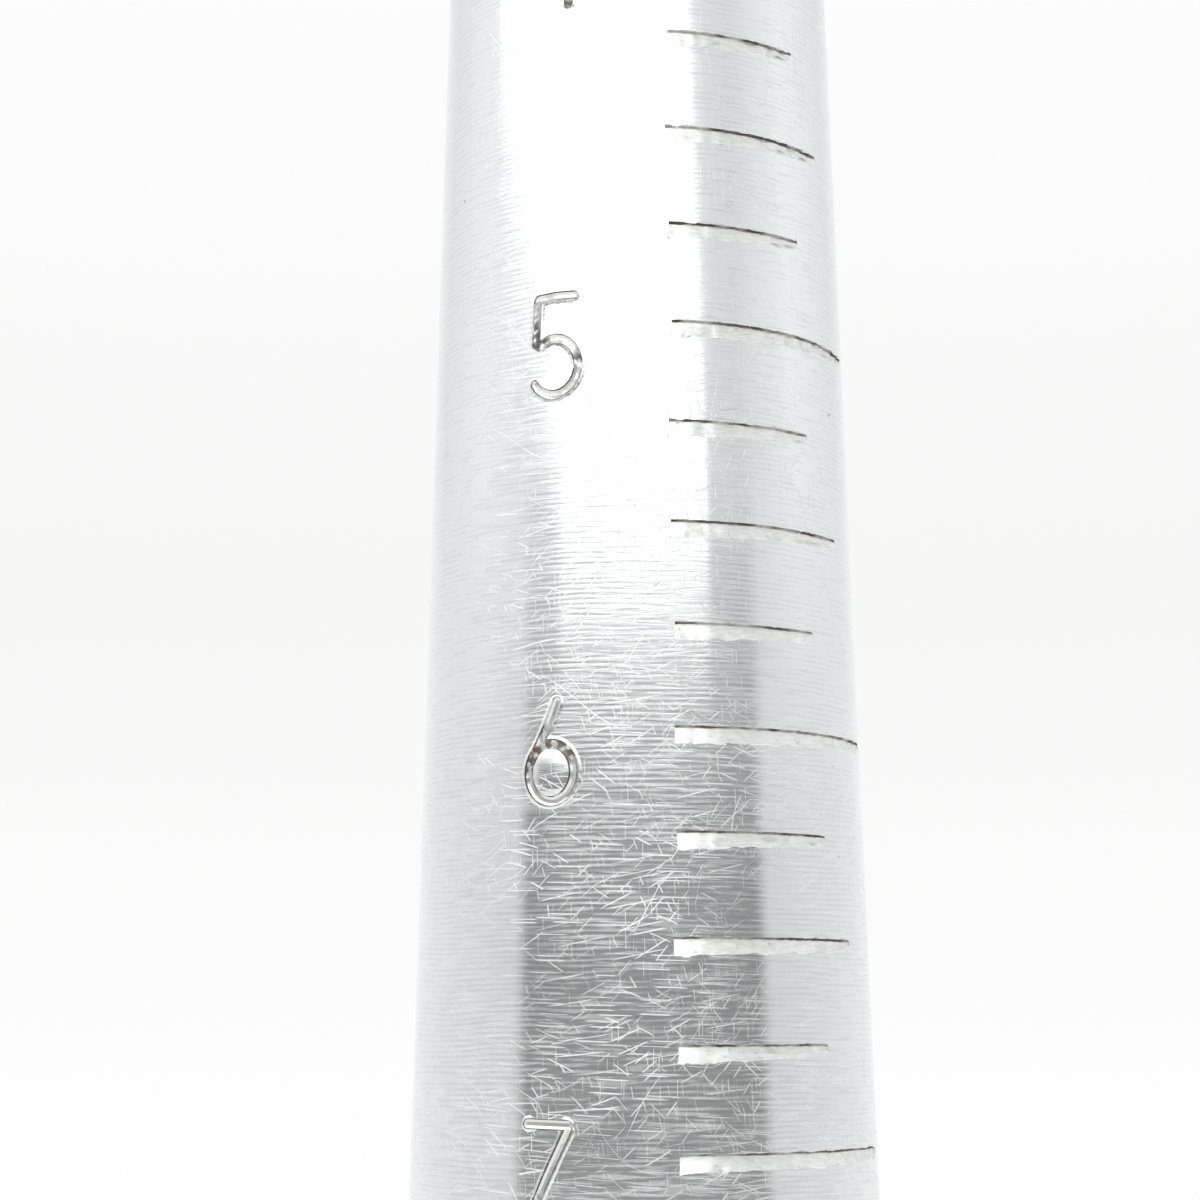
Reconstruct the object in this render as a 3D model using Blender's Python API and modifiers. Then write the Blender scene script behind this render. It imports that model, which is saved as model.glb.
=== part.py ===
"""Ring mandrel: a tapered aluminium gauge for finger-ring sizes on a turned wooden handle.

Units are metres, +Z runs from the butt to the tip, and the origin is the middle of the butt's flat face.
The size marks face -Y, with the numbers to their left. An azimuth of 0 is -Y and it grows towards +X.
"""

import math
from itertools import pairwise

import bmesh
import bpy
from mathutils import Matrix, Vector

MM = 0.001

# Ring sizes (US scale): the inside diameter that each size stands for, and how far apart the sizes lie.
SIZE_ZERO_DIAMETER = 11.63 * MM
DIAMETER_PER_SIZE = 0.8128 * MM
FIRST_SIZE = 1
LAST_SIZE = 15
SIZE_PITCH = 14.8 * MM
MARKS_PER_SIZE = 4
TIP_LEAD = 9.0 * MM
SHOULDER_LEAD = 9.0 * MM

# Size marks: a cut with a steep upper wall, whose top edge is the size's own line, and a long lower slope.
MARK_UPPER_WALL = 0.06 * MM
MARK_LOWER_SLOPE = 0.56 * MM
MARK_DEPTH = 0.16 * MM
MARK_START_AZIMUTH = math.radians(8.0)
MARK_END_AZIMUTH = {4: math.radians(75.0), 2: math.radians(62.5), 1: math.radians(50.5)}

# Stamped numbers: the size of one digit between the middles of its strokes.
DIGIT_WIDTH = 1.75 * MM
DIGIT_HEIGHT = 3.65 * MM
DIGIT_STROKE = 0.40 * MM
DIGIT_ADVANCE = 2.50 * MM
DIGIT_AZIMUTH = math.radians(-22.7)
DIGIT_DROP = 0.80 * MM
DIGIT_BOWL = 0.28
ARC_STEPS = 7

# Fits between pieces.
SEAT_GAP = 0.3 * MM
CUT_MARGIN = 0.5 * MM

# Gauge taper's ends.
TIP_FILLET = 1.6 * MM
CENTRE_DRILL_RADIUS = 1.6 * MM
CENTRE_DRILL_DEPTH = 2.2 * MM
SHOULDER_CHAMFER = 0.4 * MM
SPIGOT_RADIUS = 7.0 * MM
SPIGOT_LENGTH = 14.0 * MM

# Stud that ties the taper, the handle and the butt nut together.
STUD_RADIUS = 4.0 * MM
STUD_IN_TAPER = 26.0 * MM
STUD_PAST_NUT = 2.0 * MM
STUD_CHAMFER = 0.6 * MM
STUD_HOLE_SPARE = 3.0 * MM
DRILL_POINT_SLOPE = math.tan(math.radians(31.0))

# Collar, ferrule and its pins.
COLLAR_RADIUS = 13.4 * MM
COLLAR_THICKNESS = 3.2 * MM
COLLAR_EDGE = 0.9 * MM
FERRULE_RADIUS = 12.6 * MM
FERRULE_WALL = 0.8 * MM
FERRULE_LENGTH = 19.0 * MM
FERRULE_EDGE = 0.5 * MM
PIN_RADIUS = 0.8 * MM
PIN_LENGTH = 6.0 * MM
PIN_HEAD_RADIUS = 1.5 * MM
PIN_HEAD_HEIGHT = 0.7 * MM
PIN_FROM_MOUTH = 6.0 * MM
PIN_AZIMUTHS = {"ferrule_pin_right": math.radians(90.0), "ferrule_pin_left": math.radians(-90.0)}

# Handle: its length, its outer radius at shares of the grip from the ferrule seat down, and the heights
# of its turned lines above the handle's butt.
HANDLE_LENGTH = 102.0 * MM
GRIP_OUTLINE = (
    (0.000, 13.6 * MM),
    (0.045, 14.2 * MM),
    (0.150, 13.0 * MM),
    (0.620, 15.9 * MM),
    (1.000, 14.4 * MM),
)
STEPS_PER_STATION = 7
GRIP_LINES = (12.0 * MM, 52.0 * MM, 56.0 * MM)
GRIP_LINE_WIDTH = 1.2 * MM
GRIP_LINE_DEPTH = 0.5 * MM
BUTT_EDGE = 0.6 * MM
NOSE_EDGE = 0.6 * MM

# Fastening inside the butt.
WASHER_RADIUS = 8.0 * MM
WASHER_THICKNESS = 1.6 * MM
SPRING_WASHER_RADIUS = 7.0 * MM
SPRING_WASHER_THICKNESS = 2.0 * MM
SPRING_WASHER_SLIT = 1.4 * MM
NUT_ACROSS_FLATS = 13.0 * MM
NUT_THICKNESS = 6.5 * MM
NUT_CHAMFER = 0.7 * MM
NUT_POCKET_RADIUS = 9.0 * MM
CAP_FLANGE_RADIUS = 13.9 * MM
CAP_FLANGE_THICKNESS = 3.0 * MM
CAP_EDGE = 0.7 * MM
CAP_SPIGOT_LENGTH = 4.0 * MM
CAP_TO_STUD = 1.0 * MM

# Facets round a turned piece, and the angle from which an edge between faces stays sharp.
TAPER_FACETS = 48
HANDLE_FACETS = 36
SMALL_FACETS = 24
PIN_FACETS = 12
SHARP_ANGLE = math.radians(25.0)

# Heights, from the butt's flat face up.
HANDLE_BOTTOM = CAP_FLANGE_THICKNESS + SEAT_GAP
HANDLE_TOP = HANDLE_BOTTOM + HANDLE_LENGTH
FERRULE_TOP = HANDLE_TOP + SEAT_GAP + FERRULE_WALL
FERRULE_BOTTOM = FERRULE_TOP - FERRULE_LENGTH
COLLAR_BOTTOM = FERRULE_TOP + SEAT_GAP
COLLAR_TOP = COLLAR_BOTTOM + COLLAR_THICKNESS
SHOULDER = COLLAR_TOP + SEAT_GAP
SPIGOT_END = SHOULDER - SPIGOT_LENGTH
LAST_MARK = SHOULDER + SHOULDER_LEAD
FIRST_MARK = LAST_MARK + (LAST_SIZE - FIRST_SIZE) * SIZE_PITCH
TIP = FIRST_MARK + TIP_LEAD
STUD_TOP = SPIGOT_END + STUD_IN_TAPER
STUD_BOTTOM = HANDLE_BOTTOM + CAP_SPIGOT_LENGTH + CAP_TO_STUD
NUT_BOTTOM = STUD_BOTTOM + STUD_PAST_NUT
NUT_TOP = NUT_BOTTOM + NUT_THICKNESS
SPRING_WASHER_BOTTOM = NUT_TOP + SEAT_GAP
WASHER_BOTTOM = SPRING_WASHER_BOTTOM + SPRING_WASHER_THICKNESS + SEAT_GAP
NUT_POCKET_TOP = WASHER_BOTTOM + WASHER_THICKNESS + SEAT_GAP
STUD_HOLE_RADIUS = STUD_RADIUS + SEAT_GAP
SPIGOT_HOLE_RADIUS = SPIGOT_RADIUS + SEAT_GAP
NOSE_RADIUS = FERRULE_RADIUS - FERRULE_WALL - SEAT_GAP
SEAT_SHOULDER = FERRULE_BOTTOM - SEAT_GAP


def taper_radius(z):
    """Outer radius of the gauge at height z."""
    size = LAST_SIZE - (z - LAST_MARK) / SIZE_PITCH
    return (SIZE_ZERO_DIAMETER + DIAMETER_PER_SIZE * size) / 2


def mark_height(size):
    return LAST_MARK + (LAST_SIZE - size) * SIZE_PITCH


def on_axis(azimuth, radius, z):
    """The point at this azimuth, radius and height."""
    return Vector((radius * math.sin(azimuth), -radius * math.cos(azimuth), z))


def clear_scene():
    for obj in list(bpy.data.objects):
        bpy.data.objects.remove(obj)


def new_collection(name):
    collection = bpy.data.collections.new(name)
    bpy.context.scene.collection.children.link(collection)
    return collection


def finish(name, colour, metallic, roughness):
    material = bpy.data.materials.new(name)
    material.use_nodes = True
    shader = material.node_tree.nodes["Principled BSDF"]
    shader.inputs["Base Color"].default_value = (*colour, 1.0)
    shader.inputs["Metallic"].default_value = metallic
    shader.inputs["Roughness"].default_value = roughness
    material.diffuse_color = (*colour, 1.0)
    return material


def add_object(name, mesh, collection, material=None):
    obj = bpy.data.objects.new(name, mesh)
    collection.objects.link(obj)
    if material:
        mesh.materials.append(material)
    return obj


def add_bmesh(name, bm, collection, material=None):
    bmesh.ops.recalc_face_normals(bm, faces=bm.faces)
    mesh = bpy.data.meshes.new(name)
    bm.to_mesh(mesh)
    bm.free()
    return add_object(name, mesh, collection, material)


def round_corner(corner, radius, start, end, steps=4):
    """Points (radius from the axis, z) on an arc round this centre, between two angles in degrees."""
    angles = [math.radians(start + (end - start) * i / steps) for i in range(steps + 1)]
    return [(corner[0] + radius * math.cos(a), corner[1] + radius * math.sin(a)) for a in angles]


def turned(name, outline, collection, material, facets, closed=False):
    """A piece turned about Z from (radius, z) points that run down its outer side.

    An open outline starts and ends on the axis. A closed one goes round the section of a tube.
    """
    bm = bmesh.new()
    points = [bm.verts.new((r, 0, z)) for r, z in outline]
    for a, b in pairwise(points):
        bm.edges.new((a, b))
    if closed:
        bm.edges.new((points[-1], points[0]))
    mesh = bpy.data.meshes.new(name)
    bm.to_mesh(mesh)
    bm.free()
    obj = add_object(name, mesh, collection, material)
    screw = obj.modifiers.new("turning", "SCREW")
    screw.axis = "Z"
    screw.steps = screw.render_steps = facets
    screw.use_merge_vertices = True
    screw.merge_threshold = 0.00001
    return obj


def cut(obj, cutter):
    """Takes the cutter's shape out of obj."""
    boolean = obj.modifiers.new("cut " + cutter.name, "BOOLEAN")
    boolean.operation = "DIFFERENCE"
    boolean.solver = "EXACT"
    boolean.object = cutter
    return obj


def hide_cutter(obj):
    obj.hide_render = True
    obj.display_type = "WIRE"
    return obj


def shade_round(obj):
    """Keeps the modifiers' result as the mesh, shaded smooth except across its sharp edges."""
    graph = bpy.context.evaluated_depsgraph_get()
    obj.data = bpy.data.meshes.new_from_object(obj.evaluated_get(graph))
    obj.modifiers.clear()
    obj.data.shade_smooth()
    obj.data.set_sharp_from_angle(angle=SHARP_ANGLE)


# ---- size marks -------------------------------------------------------------------------------------


def add_mark(bm, size, quarters):
    """One mark's cutter: a wedge section spun about the axis. quarters is 4 for a whole size, 2 or 1."""
    surface = taper_radius(mark_height(size))
    root = mark_height(size) - MARK_UPPER_WALL
    outside = surface + CUT_MARGIN
    widen = (MARK_DEPTH + CUT_MARGIN) / MARK_DEPTH
    section = (
        (outside, root + MARK_UPPER_WALL * widen),
        (surface - MARK_DEPTH, root),
        (outside, root - MARK_LOWER_SLOPE * widen),
    )
    sweep = MARK_END_AZIMUTH[quarters] - MARK_START_AZIMUTH
    face = bm.faces.new([bm.verts.new(on_axis(MARK_START_AZIMUTH, r, h)) for r, h in section])
    bmesh.ops.spin(
        bm,
        geom=[face, *face.edges, *face.verts],
        cent=(0, 0, 0),
        axis=(0, 0, 1),
        angle=sweep,
        steps=math.ceil(sweep / math.tau * TAPER_FACETS),
    )


def mark_cutters(collection):
    bm = bmesh.new()
    for step in range((LAST_SIZE - FIRST_SIZE) * MARKS_PER_SIZE + 1):
        add_mark(bm, FIRST_SIZE + step / MARKS_PER_SIZE, math.gcd(step, MARKS_PER_SIZE))
    return hide_cutter(add_bmesh("mark_cutters", bm, collection))


# ---- stamped numbers --------------------------------------------------------------------------------


def bow(x, y, rx, ry, start, end, steps=ARC_STEPS):
    """Points on an elliptical arc in the digit's own unit box, angles in degrees."""
    angles = [math.radians(start + (end - start) * i / steps) for i in range(steps + 1)]
    return [(x + rx * math.cos(a), y + ry * math.sin(a)) for a in angles]


def ring(x, y, rx, ry):
    """A closed oval: the same as a full bow with its last point left to the closing."""
    return bow(x, y, rx, ry, 90, 450, 2 * ARC_STEPS)[:-1]


def digit_strokes():
    """Each digit as (closed, points) strokes in a box 1 wide and 1 high, y up."""
    low = DIGIT_BOWL
    six_bowl = ring(0.5, low, 0.5, low)
    six_stem = [(0.64, 1.0), (0.03, low * 1.3)]
    five = [(0.95, 1.0), (0.08, 1.0), (0.05, 0.55)] + bow(0.47, low, 0.52, 0.29, 118, -150)
    return {
        0: [(True, ring(0.5, 0.5, 0.5, 0.5))],
        1: [(False, [(0.25, 0.84), (0.55, 1.0), (0.55, 0.0)])],
        2: [(False, bow(0.5, 0.74, 0.48, 0.26, 165, -35) + [(0.0, 0.0), (1.0, 0.0)])],
        3: [
            (False, bow(0.46, 0.77, 0.44, 0.23, 150, -80)),
            (False, bow(0.46, 0.27, 0.52, 0.27, 85, -150)),
        ],
        4: [(False, [(0.70, 1.0), (0.0, 0.3), (1.0, 0.3)]), (False, [(0.72, 0.62), (0.72, 0.0)])],
        5: [(False, five)],
        6: [(True, six_bowl), (False, six_stem)],
        7: [(False, [(0.0, 1.0), (1.0, 1.0), (0.0, 0.0)])],
        8: [(True, ring(0.5, 0.77, 0.42, 0.23)), (True, ring(0.5, 0.27, 0.5, 0.27))],
        9: [
            (True, [(1 - x, 1 - y) for x, y in six_bowl]),
            (False, [(1 - x, 1 - y) for x, y in six_stem]),
        ],
    }


def laid_on_gauge(points, middle_azimuth, middle_z):
    """A stroke's unit points as places on the gauge's surface round this middle."""
    laid = []
    for x, y in points:
        z = middle_z + (y - 0.5) * DIGIT_HEIGHT
        radius = taper_radius(z)
        laid.append(on_axis(middle_azimuth + (x - 0.5) * DIGIT_WIDTH / radius, radius, z))
    return laid


def tubes(name, strokes, radius, collection):
    """These (closed, places) strokes as round tubes in one mesh."""
    curve = bpy.data.curves.new(name, "CURVE")
    curve.dimensions = "3D"
    curve.bevel_depth = radius
    curve.bevel_resolution = 0
    curve.use_fill_caps = True
    for closed, places in strokes:
        spline = curve.splines.new("POLY")
        spline.points.add(len(places) - 1)
        spline.use_cyclic_u = closed
        for point, place in zip(spline.points, places):
            point.co = (*place, 1.0)
    guide = add_object(name + "_line", curve, collection)
    graph = bpy.context.evaluated_depsgraph_get()
    bm = bmesh.new()
    bm.from_mesh(bpy.data.meshes.new_from_object(guide.evaluated_get(graph)))
    bpy.data.objects.remove(guide)
    bmesh.ops.remove_doubles(bm, verts=bm.verts, dist=0.00001)
    return add_bmesh(name, bm, collection)


def number_cutters(collection):
    """Two cutters: the first stroke of every digit, and the second stroke of those that have one."""
    shapes = digit_strokes()
    strokes = ([], [])
    for size in range(FIRST_SIZE, LAST_SIZE + 1):
        digits = [int(letter) for letter in str(size)]
        z = mark_height(size) - DIGIT_DROP
        for place, digit in enumerate(digits):
            azimuth = DIGIT_AZIMUTH + (place - (len(digits) - 1) / 2) * DIGIT_ADVANCE / taper_radius(z)
            for found, (closed, points) in zip(strokes, shapes[digit]):
                found.append((closed, laid_on_gauge(points, azimuth, z)))
    names = ("number_cutters_first", "number_cutters_second")
    return [
        hide_cutter(tubes(name, found, DIGIT_STROKE / 2, collection))
        for name, found in zip(names, strokes)
    ]


# ---- the gauge --------------------------------------------------------------------------------------


def gauge_taper(collection, cutters, material):
    tip_radius = taper_radius(TIP - TIP_FILLET)
    shoulder_radius = taper_radius(SHOULDER + SHOULDER_CHAMFER)
    hole_end = STUD_TOP + STUD_HOLE_SPARE
    outline = [
        (0.0, TIP - CENTRE_DRILL_DEPTH),
        (CENTRE_DRILL_RADIUS, TIP),
        *round_corner((tip_radius - TIP_FILLET, TIP - TIP_FILLET), TIP_FILLET, 90, 0),
        (shoulder_radius, SHOULDER + SHOULDER_CHAMFER),
        (shoulder_radius - SHOULDER_CHAMFER, SHOULDER),
        (SPIGOT_RADIUS, SHOULDER),
        (SPIGOT_RADIUS, SPIGOT_END),
        (STUD_HOLE_RADIUS, SPIGOT_END),
        (STUD_HOLE_RADIUS, hole_end),
        (0.0, hole_end + STUD_HOLE_RADIUS * DRILL_POINT_SLOPE),
    ]
    taper = turned("gauge_taper", outline, collection, material, TAPER_FACETS)
    cut(taper, mark_cutters(cutters))
    for cutter in number_cutters(cutters):
        cut(taper, cutter)
    return taper


def stop_collar(collection, material):
    edge = COLLAR_EDGE
    outline = [
        (SPIGOT_HOLE_RADIUS, COLLAR_TOP),
        *round_corner((COLLAR_RADIUS - edge, COLLAR_TOP - edge), edge, 90, 0),
        *round_corner((COLLAR_RADIUS - edge, COLLAR_BOTTOM + edge), edge, 0, -90),
        (SPIGOT_HOLE_RADIUS, COLLAR_BOTTOM),
    ]
    return turned("stop_collar", outline, collection, material, TAPER_FACETS, closed=True)


# ---- ferrule and pins -------------------------------------------------------------------------------


def laid_along(azimuth):
    """The placing that lays a piece made up Z out along this azimuth at the height of the pins."""
    turn = on_axis(azimuth, 1.0, 0.0).to_track_quat("Z", "Y").to_matrix().to_4x4()
    return Matrix.Translation((0, 0, FERRULE_BOTTOM + PIN_FROM_MOUTH)) @ turn


def pin_hole(name, azimuth, collection):
    """The hole that a ferrule pin goes through, from outside the ferrule to past the pin's point."""
    radius = PIN_RADIUS + SEAT_GAP
    inner = FERRULE_RADIUS - PIN_LENGTH - SEAT_GAP
    outer = FERRULE_RADIUS + CUT_MARGIN
    outline = [(0.0, outer), (radius, outer), (radius, inner), (0.0, inner)]
    hole = turned(name, outline, collection, None, PIN_FACETS)
    hole.matrix_world = laid_along(azimuth)
    return hide_cutter(hole)


def ferrule_pin(name, azimuth, collection, material):
    """A small brad: a straight shank under a low domed head."""
    shank_end = FERRULE_RADIUS - PIN_LENGTH
    head_seat = FERRULE_RADIUS + SEAT_GAP
    head_top = head_seat + PIN_HEAD_HEIGHT
    outline = [
        (0.0, head_top),
        (PIN_HEAD_RADIUS * 0.6, head_top - PIN_HEAD_HEIGHT * 0.2),
        (PIN_HEAD_RADIUS, head_seat + PIN_HEAD_HEIGHT * 0.3),
        (PIN_HEAD_RADIUS, head_seat),
        (PIN_RADIUS, head_seat),
        (PIN_RADIUS, shank_end + PIN_RADIUS),
        (0.0, shank_end),
    ]
    pin = turned(name, outline, collection, material, PIN_FACETS)
    pin.matrix_world = laid_along(azimuth)
    return pin


def ferrule(collection, material, holes):
    edge = FERRULE_EDGE
    inner = FERRULE_RADIUS - FERRULE_WALL
    outline = [
        (SPIGOT_HOLE_RADIUS, FERRULE_TOP),
        *round_corner((FERRULE_RADIUS - edge, FERRULE_TOP - edge), edge, 90, 0),
        (FERRULE_RADIUS, FERRULE_BOTTOM),
        (inner, FERRULE_BOTTOM),
        (inner, FERRULE_TOP - FERRULE_WALL),
        (SPIGOT_HOLE_RADIUS, FERRULE_TOP - FERRULE_WALL),
    ]
    tube = turned("ferrule", outline, collection, material, HANDLE_FACETS, closed=True)
    for hole in holes:
        cut(tube, hole)
    return tube


# ---- handle -----------------------------------------------------------------------------------------


def grip_sections():
    """The grip's outer side as (radius, z), eased between the stations, which are its beads and waists."""
    length = SEAT_SHOULDER - HANDLE_BOTTOM
    sections = [(GRIP_OUTLINE[0][1], SEAT_SHOULDER)]
    for (a, ra), (b, rb) in pairwise(GRIP_OUTLINE):
        for step in range(1, STEPS_PER_STATION + 1):
            t = step / STEPS_PER_STATION
            ease = t * t * (3 - 2 * t)
            sections.append((ra + (rb - ra) * ease, SEAT_SHOULDER - length * (a + (b - a) * t)))
    return sections


def grip_radius(z):
    """The grip's outer radius at height z, on the straight between its sections."""
    for (ra, above), (rb, below) in pairwise(grip_sections()):
        if z >= below:
            return ra + (rb - ra) * (above - z) / (above - below)


def grip_profile():
    """The grip's outer side from the ferrule seat to the butt's edge, with a V for each turned line."""
    lines = [HANDLE_BOTTOM + up for up in GRIP_LINES]
    edge = HANDLE_BOTTOM + BUTT_EDGE
    points = [
        (radius, z)
        for radius, z in grip_sections()
        if z > edge and all(abs(z - line) > GRIP_LINE_WIDTH for line in lines)
    ]
    for line in lines:
        for z in (line + GRIP_LINE_WIDTH / 2, line - GRIP_LINE_WIDTH / 2):
            points.append((grip_radius(z), z))
        points.append((grip_radius(line) - GRIP_LINE_DEPTH, line))
    points.append((grip_radius(edge), edge))
    points.append((grip_radius(edge) - BUTT_EDGE, HANDLE_BOTTOM))
    return sorted(points, key=lambda point: -point[1])


def handle(collection, material, holes):
    outline = [
        (SPIGOT_HOLE_RADIUS, HANDLE_TOP),
        (NOSE_RADIUS - NOSE_EDGE, HANDLE_TOP),
        (NOSE_RADIUS, HANDLE_TOP - NOSE_EDGE),
        (NOSE_RADIUS, SEAT_SHOULDER),
        *grip_profile(),
        (NUT_POCKET_RADIUS, HANDLE_BOTTOM),
        (NUT_POCKET_RADIUS, NUT_POCKET_TOP),
        (STUD_HOLE_RADIUS, NUT_POCKET_TOP),
        (STUD_HOLE_RADIUS, SPIGOT_END - SEAT_GAP),
        (SPIGOT_HOLE_RADIUS, SPIGOT_END - SEAT_GAP),
    ]
    grip = turned("handle", outline, collection, material, HANDLE_FACETS, closed=True)
    for hole in holes:
        cut(grip, hole)
    return grip


# ---- fastening --------------------------------------------------------------------------------------


def tang_stud(collection, material):
    chamfer = STUD_CHAMFER
    outline = [
        (0.0, STUD_TOP),
        (STUD_RADIUS - chamfer, STUD_TOP),
        (STUD_RADIUS, STUD_TOP - chamfer),
        (STUD_RADIUS, STUD_BOTTOM + chamfer),
        (STUD_RADIUS - chamfer, STUD_BOTTOM),
        (0.0, STUD_BOTTOM),
    ]
    return turned("tang_stud", outline, collection, material, SMALL_FACETS)


def flat_ring(name, radius, bottom, thickness, collection, material):
    outline = [
        (STUD_HOLE_RADIUS, bottom + thickness),
        (radius, bottom + thickness),
        (radius, bottom),
        (STUD_HOLE_RADIUS, bottom),
    ]
    return turned(name, outline, collection, material, SMALL_FACETS, closed=True)


def spring_washer(collection, cutters, material):
    """A lock washer, slit on the slant."""
    radius = SPRING_WASHER_RADIUS
    thickness = SPRING_WASHER_THICKNESS
    washer = flat_ring("spring_washer", radius, SPRING_WASHER_BOTTOM, thickness, collection, material)
    bm = bmesh.new()
    bmesh.ops.create_cube(bm, size=1.0)
    size = (radius, SPRING_WASHER_SLIT, thickness * 4)
    bmesh.ops.scale(bm, vec=size, verts=bm.verts)
    bmesh.ops.rotate(bm, matrix=Matrix.Rotation(math.radians(35), 3, "X"), verts=bm.verts)
    middle = (radius * 0.75, 0, SPRING_WASHER_BOTTOM + thickness / 2)
    bmesh.ops.translate(bm, vec=middle, verts=bm.verts)
    return cut(washer, hide_cutter(add_bmesh("washer_slit", bm, cutters)))


def butt_nut(collection, cutters, material):
    """A hexagon nut with its corners chamfered top and bottom."""
    corner = NUT_ACROSS_FLATS / 2 / math.cos(math.pi / 6)
    bm = bmesh.new()
    bmesh.ops.create_cone(bm, cap_ends=True, segments=6, radius1=corner, radius2=corner, depth=NUT_THICKNESS)
    bmesh.ops.translate(bm, vec=(0, 0, NUT_BOTTOM + NUT_THICKNESS / 2), verts=bm.verts)
    nut = add_bmesh("butt_nut", bm, collection, material)
    outside = corner + CUT_MARGIN
    face_radius = NUT_ACROSS_FLATS / 2
    trims = {
        "nut_chamfer_top": [
            (outside, NUT_TOP + CUT_MARGIN),
            (outside, NUT_TOP - NUT_CHAMFER),
            (face_radius, NUT_TOP + CUT_MARGIN),
        ],
        "nut_chamfer_bottom": [
            (face_radius, NUT_BOTTOM - CUT_MARGIN),
            (outside, NUT_BOTTOM + NUT_CHAMFER),
            (outside, NUT_BOTTOM - CUT_MARGIN),
        ],
        "nut_bore": [
            (0.0, NUT_TOP + CUT_MARGIN),
            (STUD_HOLE_RADIUS, NUT_TOP + CUT_MARGIN),
            (STUD_HOLE_RADIUS, NUT_BOTTOM - CUT_MARGIN),
            (0.0, NUT_BOTTOM - CUT_MARGIN),
        ],
    }
    for name, outline in trims.items():
        closed = outline[0][0] > 0
        cutter = turned(name, outline, cutters, None, SMALL_FACETS, closed=closed)
        cut(nut, hide_cutter(cutter))
    return nut


def butt_cap(collection, material):
    """The disc that closes the nut pocket and that the mandrel stands on."""
    edge = CAP_EDGE
    spigot_radius = NUT_POCKET_RADIUS - SEAT_GAP
    spigot_top = HANDLE_BOTTOM + CAP_SPIGOT_LENGTH
    outline = [
        (0.0, spigot_top),
        (spigot_radius, spigot_top),
        (spigot_radius, CAP_FLANGE_THICKNESS),
        *round_corner((CAP_FLANGE_RADIUS - edge, CAP_FLANGE_THICKNESS - edge), edge, 90, 0),
        *round_corner((CAP_FLANGE_RADIUS - edge, edge), edge, 0, -90),
        (0.0, 0.0),
    ]
    return turned("butt_cap", outline, collection, material, HANDLE_FACETS)


def build():
    clear_scene()
    mandrel = new_collection("ring_mandrel")
    cutters = new_collection("cutters")
    cutters.hide_render = True

    aluminium = finish("aluminium", (0.80, 0.81, 0.82), 1.0, 0.28)
    nickel = finish("nickel_plate", (0.72, 0.71, 0.68), 1.0, 0.20)
    zinc_steel = finish("zinc_steel", (0.60, 0.61, 0.63), 1.0, 0.38)
    brass = finish("brass", (0.78, 0.60, 0.30), 1.0, 0.30)
    beech = finish("beech", (0.66, 0.42, 0.22), 0.0, 0.45)

    gauge_taper(mandrel, cutters, aluminium)
    stop_collar(mandrel, aluminium)
    holes = []
    for name, azimuth in PIN_AZIMUTHS.items():
        ferrule_pin(name, azimuth, mandrel, brass)
        holes.append(pin_hole(name + "_hole", azimuth, cutters))
    ferrule(mandrel, nickel, holes)
    handle(mandrel, beech, holes)
    tang_stud(mandrel, zinc_steel)
    flat_ring("butt_washer", WASHER_RADIUS, WASHER_BOTTOM, WASHER_THICKNESS, mandrel, zinc_steel)
    spring_washer(mandrel, cutters, zinc_steel)
    butt_nut(mandrel, cutters, zinc_steel)
    butt_cap(mandrel, aluminium)
    for obj in mandrel.objects:
        shade_round(obj)


build()
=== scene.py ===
"""Ring mandrel: a turned aluminium gauge for finger-ring sizes on a lacquered beech handle.

Units are metres, +Z runs from the butt to the tip. An azimuth of 0 faces -Y and grows towards +X.
"""

import math
import random
from itertools import pairwise

import bmesh
import bpy
from mathutils import Matrix, Vector, noise


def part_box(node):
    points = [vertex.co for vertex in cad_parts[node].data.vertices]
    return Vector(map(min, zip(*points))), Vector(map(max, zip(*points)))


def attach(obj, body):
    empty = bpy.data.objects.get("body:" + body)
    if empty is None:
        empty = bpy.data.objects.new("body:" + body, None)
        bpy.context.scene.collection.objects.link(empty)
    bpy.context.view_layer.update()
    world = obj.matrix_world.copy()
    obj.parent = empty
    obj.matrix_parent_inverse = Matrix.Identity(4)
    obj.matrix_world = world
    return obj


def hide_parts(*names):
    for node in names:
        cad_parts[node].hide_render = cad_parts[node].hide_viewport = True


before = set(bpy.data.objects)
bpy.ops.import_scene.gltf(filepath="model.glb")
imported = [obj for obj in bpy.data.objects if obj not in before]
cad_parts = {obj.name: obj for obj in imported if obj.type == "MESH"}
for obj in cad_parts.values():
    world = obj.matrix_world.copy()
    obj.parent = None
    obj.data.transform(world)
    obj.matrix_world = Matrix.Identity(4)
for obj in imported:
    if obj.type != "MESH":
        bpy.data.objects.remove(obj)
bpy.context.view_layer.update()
MM = 0.001


# ---- Gauge taper ------------------------------------------------------------------------------------
# One long aluminium bar, turned to a taper between centres. A line is cut part of the way round for each
# size and its quarters, and the whole sizes are stamped with number punches, which heaves the metal up
# beside each stroke. Its spigot sits in the handle and it is screwed down on the stud.

SIZE_ZERO_DIAMETER = 11.63 * MM
DIAMETER_PER_SIZE = 0.8128 * MM
FIRST_SIZE = 1
LAST_SIZE = 15
MARKS_PER_SIZE = 4
TIP_LEAD = 9.0 * MM
SHOULDER_LEAD = 9.0 * MM
SPIGOT_LENGTH = 14.0 * MM
SPIGOT_RADIUS = 7.0 * MM
TIP_FILLET = 1.6 * MM
CENTRE_DRILL_RADIUS = 1.6 * MM
CENTRE_DRILL_DEPTH = 2.2 * MM
SHOULDER_CHAMFER = 0.4 * MM
STUD_HOLE_RADIUS = 4.3 * MM
STUD_HOLE_DEPTH = 29.0 * MM
DRILL_POINT_SLOPE = math.tan(math.radians(31.0))
TAPER_STEPS = 192
WELD_DISTANCE = 0.0000005

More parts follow.
